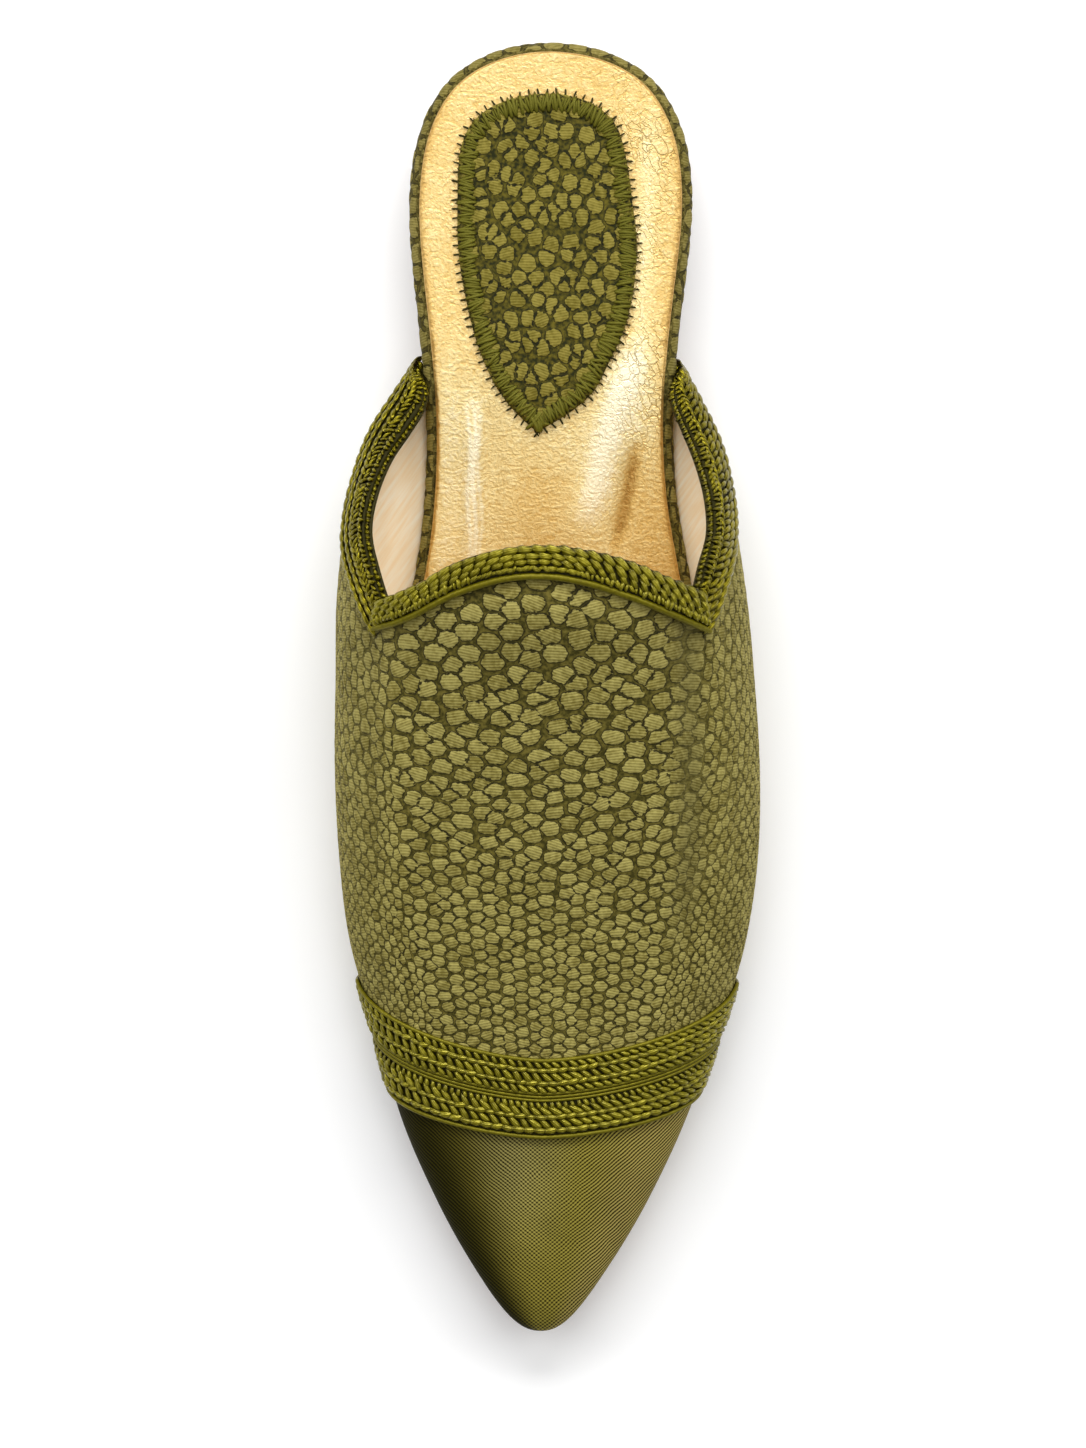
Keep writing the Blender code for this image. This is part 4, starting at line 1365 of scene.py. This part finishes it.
def make_collar_braid(kit, seed):
    def place(across, share):
        edge_station, edge_angle = collar_line(share, "edge_station", "edge_angle")
        trim_station, trim_angle = collar_line(share, "trim_station", "trim_angle")
        station = edge_station + (trim_station - edge_station) * across
        return np.sqrt(LENGTH - station), edge_angle + (trim_angle - edge_angle) * across

    def strip(across, lift, start, end):
        share = np.linspace(start, end, STRIP_POINTS)
        root, angle = place(across, share)
        lean = np.clip(share / SLANT_TURN_COLLAR, -1, 1)
        return lifted(root, angle, lift), last_normal(root, angle), lean

    def throat_line(across, lift):
        return [strip(across, lift, -CORNER_SHARE, CORNER_SHARE)]

    def quarter_lines(across, lift):
        """The braid is mitred at both corners, and turned over on the quarters."""
        corner = CORNER_SHARE + CORNER_CLEAR
        return [strip(across, lift, -COLLAR_ROW_END, -corner), strip(across, lift, corner, COLLAR_ROW_END)]

    quarter = np.linspace(CORNER_SHARE, COLLAR_ROW_END, QUARTER_POINTS)
    half = np.concatenate([np.linspace(0, CORNER_SHARE, THROAT_POINTS), quarter[1:]])
    share = np.concatenate([-half[:0:-1], half])
    places = [place(way, share) for way in np.linspace(0, 1, GROUND_ROWS)]
    top = COLLAR_BRAID_GAP + COLLAR_GROUND
    braid_ground("collar_braid_ground", places, COLLAR_BRAID_GAP, top, kit, "collar_braid")
    lift = COLLAR_BRAID_GAP + COLLAR_ROW_LIFT
    strands = (kit["lobe"], kit["row"], kit["silk"])
    quarter_strands = (kit["lobe"], kit["row"], kit["quarter_silk"])
    name = "collar_braid"
    lay_rows(name, THROAT_ROWS, throat_line, lift, *strands, seed)
    lay_rows(name, QUARTER_ROWS, quarter_lines, lift, *quarter_strands, seed + 10)
    lay_rows(name, QUARTER_EDGE_ROWS, quarter_lines, COLLAR_EDGE_LIFT, *quarter_strands, seed + 20)
    cord_lift = lift - COLLAR_CORD_DROP
    lay_cords("collar_braid_throat", THROAT_CORDS, throat_line, cord_lift, kit["cord"], kit["gimp"])
    root, angle = place(0.0, share)
    middle = lifted(root, angle, -LINING_SHARE * wall_at(root))
    binding = guide_line([(middle, last_normal(root, angle), np.sign(share))])
    edge = grown(
        "collar_binding", binding, kit["cord"], Radius=COLLAR_BINDING * MM, Material=kit["binding"]
    )
    finished(edge)

    def tuck(sign, way):
        """A line between the collar's edge and the hollow under the footbed's rim."""
        root, angle = place(0.0, sign * np.linspace(*TUCK_SHARES, TUCK_POINTS))
        edge = lifted(root, angle, top)
        station = LENGTH - root**2
        rim = column(FOOTBED_PLAN, "left" if sign < 0 else "right")
        under = np.stack([
            sign * (np.interp(station, column(FOOTBED_PLAN, "station"), rim) - TUCK_DEPTH),
            LENGTH / 2 - station,
            footbed_base(station) + TUCK_LEVEL * footbed_thickness(station),
        ], axis=-1)
        return edge + (under - edge) * way

    def tuck_lines(way, lift):
        """The tuck faces up and outwards."""
        up = {sign: np.tile((0.6 * sign, 0.0, 0.8), (TUCK_POINTS, 1)) for sign in (-1, 1)}
        return [
            (tuck(sign, way) + lift * up[sign], up[sign], np.full(TUCK_POINTS, sign)) for sign in (-1, 1)
        ]

    for sign, side in ((-1, "left"), (1, "right")):
        over = np.stack([tuck(sign, way) for way in np.linspace(0, 1, TUCK_LINES)])
        under = over - (0.0, 0.0, TUCK_THICKNESS)
        finished(wall(f"{side}_braid_tuck", over, under, {}, kit["ground"]))
    lay_rows(name, TUCK_ROWS, tuck_lines, TUCK_LIFT, *quarter_strands, seed + 30)


def in_cells(place, cell, jitter, shown):
    """Point values of a slab in scale fabric: place in the pattern, unevenness, and where it is raised."""
    return {"scale_place": place / (*cell, 1.0), "relief": shown, "loose": np.full_like(shown, jitter)}


def make_footbed(material, relief):
    stations, levels, columns = 420, 21, 3
    edges = outline(FOOTBED_PLAN, FOOTBED_ENDS, (ROUND, ROUND), stations)
    plain = slab(
        "footbed_plain", edges, side_curve(FOOTBED_SIDE, levels), 0.0, footbed_base, footbed_thickness,
        columns, None, placed=lambda place, on_top: in_cells(place, RIM_CELL, RIM_JITTER, 1 - on_top)
    )
    cover = grown(
        "footbed_cover", plain, relief, Relief=RIM_RELIEF * MM, Rounding=RIM_ROUNDING, Material=material
    )
    finished(cover, ["footbed"])


def skin_lines(lines, x, station, wander=0.0):
    """Sum of soft lines on the gilt skin, each at full strength along its middle."""
    total = 0 * x
    for line in lines:
        way = (station - line.start[1]) / (line.end[1] - line.start[1])
        middle = line.start[0] + (line.end[0] - line.start[0]) * way
        off = x + wander * np.sin(station / STREAK_WAVE + line.start[0]) - middle
        near = np.exp(-((off / line.half_width) ** 2))
        total += line.strength * near * eased(way, *LINE_BEGINS) * eased(way, *LINE_ENDS)
    return total


def insole_gleam(x, station):
    """How bright the foil is: its own tone, with painted highlights on the ridges and margins, painted
    shade in the folds and under the throat, painted light forward of the waist, and darker on the right.
    """
    streaks = skin_lines(INSOLE_PAINTED_LIGHT_AND_SHADE, x, station) + skin_lines(FINE_PAINTED_HIGHLIGHTS, x, station, STREAK_WANDER)
    right_darkening = RIGHT_DARKENING * eased(x, *RIGHT_DARKENING_X) * eased(station, *RIGHT_DARKENING_STATIONS)
    return INSOLE_GLEAM + WAIST_PAINTED_LIGHT * eased(station, *WAIST_STATIONS) + streaks - right_darkening


def make_insole(material):
    stations, levels, columns = 300, 9, 121
    edges = outline(FOOTBED_PLAN, FOOTBED_ENDS, (ROUND, ROUND), stations)

    def placed(place, on_top):
        x, station = place[:, 0], LENGTH / 2 - place[:, 1]
        left, right = edges
        from_left = x - np.interp(station, left[:, 1], left[:, 0])
        inside = np.minimum(from_left, np.interp(station, right[:, 1], right[:, 0]) - x)
        # Darker towards the edge of the foil.
        darker_edge = EDGE_DARKENING * eased(inside - INSOLE_INSET, *EDGE_DARKENING_DEPTHS)
        gleam = np.where(on_top > 0, insole_gleam(x, station) - darker_edge, SIDE_GLEAM)
        most = eased(x, *CREASED_X) * eased(station, *CREASED_STATIONS)
        creased = LEAST_CREASED + (1 - LEAST_CREASED) * most
        return {"gleam": gleam, "creased": np.where(on_top > 0, creased, 0.0)}

    insole = slab(
        "insole_gilt", edges, side_curve(INSOLE_SIDE, levels), INSOLE_INSET, insole_base,
        even(INSOLE_THICKNESS), columns, material, shaped=partial(skin_lines, INSOLE_FOLDS), placed=placed
    )
    finished(insole, ["insole"])


def patch_drift(station):
    return PATCH_DRIFT * smooth((station - PATCH_DRIFT_START) / (PATCH_ENDS[1] - PATCH_DRIFT_START))


def make_heel_patch(material, relief):
    stations, levels, columns = 170, 7, 91
    edges = outline(PATCH_PLAN, PATCH_ENDS, (ROUND, POINTED), stations, patch_drift)
    plain = slab(
        "patch_plain", edges, side_curve(PATCH_SIDE, levels), 0.0, patch_base, even(PATCH_THICKNESS),
        columns, None, placed=lambda place, on_top: in_cells(place, PATCH_CELL, PATCH_JITTER, on_top)
    )
    patch = grown(
        "heel_patch_fabric", plain, relief, Relief=PATCH_RELIEF * MM, Rounding=PATCH_ROUNDING,
        Material=material
    )
    finished(patch, ["heel_patch"])


def make_patch_stitches(kit):
    """The overcast border of bright thread, and the dark ticks where it enters the gilt skin."""
    left, right = outline(PATCH_PLAN, PATCH_ENDS, (ROUND, POINTED), STITCH_STATIONS, patch_drift)

    def line(depth, lift):
        edge = np.concatenate([inset_edge(left, -1, depth)[::-1], inset_edge(right, 1, depth)[1:]])
        height = patch_base(edge[:, 1]) + lift
        points = np.column_stack([edge[:, 0], LENGTH / 2 - edge[:, 1], height])
        return guide_line([(points, np.tile((0.0, 0.0, 1.0), (len(points), 1)), np.ones(len(points)))])

    for row in PATCH_STITCHES:
        piece = sewn_row(
            f"patch_{row.name}_stitches", line(row.across, row.lift), kit["row"], row, kit["thread"],
            row.size_wobble, row.seed, kit[row.name]
        )
        finished(piece)


def make_sole(sole, heel):
    stations, heel_stations, levels, columns = 260, 90, 13, 3
    edges = outline(OUTSOLE_PLAN, OUTSOLE_ENDS, (ROUND, ROUND), stations)
    outsole = slab(
        "outsole_leather", edges, side_curve(OUTSOLE_SIDE, levels), 0.0, tread_height,
        even(SOLE_THICKNESS), columns, sole
    )
    finished(outsole, ["outsole"])
    edges = outline(OUTSOLE_PLAN, (OUTSOLE_ENDS[0], HEEL_BREAST), (ROUND, BLUNT), heel_stations)
    height = even(HEEL_RISE - GAP)
    lift = slab("heel_lift_leather", edges, HEEL_SIDE, 0.0, even(0.0), height, columns, heel, blunt=True)
    finished(lift, ["heel_lift"])


def make_floor():
    """A plain pale table, lit a little from within so that it stays white."""
    material, _, _ = new_material(
        "lit_table", Roughness=0.9, Base_Color="F6F6F6", Emission_Color="FFFFFF", Emission_Strength=0.14
    )
    mesh = bpy.data.meshes.new("floor")
    corners = [(-1, -1), (1, -1), (1, 1), (-1, 1)]
    mesh.from_pydata([(x * FLOOR_REACH, y * FLOOR_REACH, 0) for x, y in corners], [], [(0, 1, 2, 3)])
    mesh.materials.append(material)
    made_object("floor", mesh)


def make_light(name, place, target, size, watts):
    light = bpy.data.lights.new(name, "AREA")
    light.shape = "RECTANGLE"
    light.size, light.size_y = size
    light.energy = watts
    made = made_object(name, light)
    made.location = place
    towards = np.array(target) - np.array(place)
    made.rotation_euler = (
        math.acos(-towards[2] / np.linalg.norm(towards)),
        0.0,
        math.atan2(towards[1], towards[0]) - math.pi / 2,
    )


def make_studio():
    scene = bpy.context.scene
    scene.view_settings.view_transform = "Standard"
    world = bpy.data.worlds.new("studio")
    world.use_nodes = True
    sky = world.node_tree.nodes["Background"].inputs
    sky["Color"].default_value = (1.0, 1.0, 1.0, 1.0)
    sky["Strength"].default_value = SKY_STRENGTH
    scene.world = world
    for light in LIGHTS:
        make_light(*light)


def make_camera():
    camera = bpy.data.cameras.new("camera")
    focal_pixels = (CAMERA_HEIGHT - PIXEL_LEVEL) / MM_PER_PIXEL
    camera.sensor_width = SENSOR
    camera.lens = focal_pixels / max(IMAGE_WIDTH, IMAGE_HEIGHT) * SENSOR
    made = made_object("camera", camera)
    made.location = (CAMERA_X * MM, CAMERA_Y * MM, CAMERA_HEIGHT * MM)
    made.rotation_euler = (0.0, 0.0, CAMERA_ROLL)
    bpy.context.scene.camera = made


def main():
    vamp = scale_fabric(
        "scale_jacquard", "73682A", "ABA059", "3C370A", "100E00", CELL_ROUNDING,
        groove=0.035, scallop=0.26
    )
    patch = scale_fabric(
        "patch_jacquard", "645A16", "8E8238", "222302", "0C0D00", PATCH_ROUNDING,
        groove=0.06, scallop=0.36
    )
    rim = scale_fabric(
        "rim_jacquard", "655B22", "8C8044", "3C350A", "241F02", RIM_ROUNDING,
        groove=0.06, scallop=0.25
    )
    relief = scale_relief_tree()
    lobe = strand_form("lobe", lobe_shape, rings=8, sides=7)
    thread = strand_form("thread", thread_shape, rings=6, sides=5)
    kit = {
        "lobe": lobe,
        "thread": thread,
        "row": strand_row_tree(),
        "cord": cord_tree(),
        "silk": plaited_silk("plaited_silk", "151200", "958B16", roughness=0.22),
        # Painted shade: the quarters' silk is a darker copy of the throat's silk, deeper between the
        # strands.
        "quarter_silk": plaited_silk("quarter_silk", "0C0A00", "8C8008", roughness=0.26, metallic=0.75),
        # The braids' ground: its own dark olive, deepened as painted shade between the strands.
        "ground": twisted_cord("braid_ground_weave", "1E1B00", "3A3502", roughness=0.7),
        "gimp": twisted_cord("gimp_cord", "504900", "857C0C", roughness=0.4),
        "binding": twisted_cord("binding_cord", "1E1B00", "3A3502", roughness=0.6),
        "border": plaited_silk("border_thread", "1E1C00", "6A6612", roughness=0.5),
        "tick": plaited_silk("tick_thread", "1C1A04", "3A360C", roughness=0.6),
    }
    sole = sole_leather("sole_leather", "6B4527", "9A7048")
    make_sole(sole, sole_leather("heel_leather", "3E2716", "6A4A30"))
    make_footbed(rim, relief)
    make_insole(gilt_leather())
    make_heel_patch(patch, relief)
    make_patch_stitches(kit)
    make_upper(vamp, relief)
    make_lining(lining_leather())
    make_toe_cap(satin_twill())
    make_toe_braid("toe_braid_back", BRAID_BACK, BRAID_SPLIT, TOE_BACK_ROWS, TOE_BACK_CORDS, kit, 20)
    make_toe_braid("toe_braid_front", BRAID_SPLIT, BRAID_FRONT, TOE_FRONT_ROWS, TOE_FRONT_CORDS, kit, 40)
    make_collar_braid(kit, 60)
    for form in (lobe, thread):
        bpy.data.objects.remove(form)
    make_floor()
    make_studio()
    make_camera()


main()
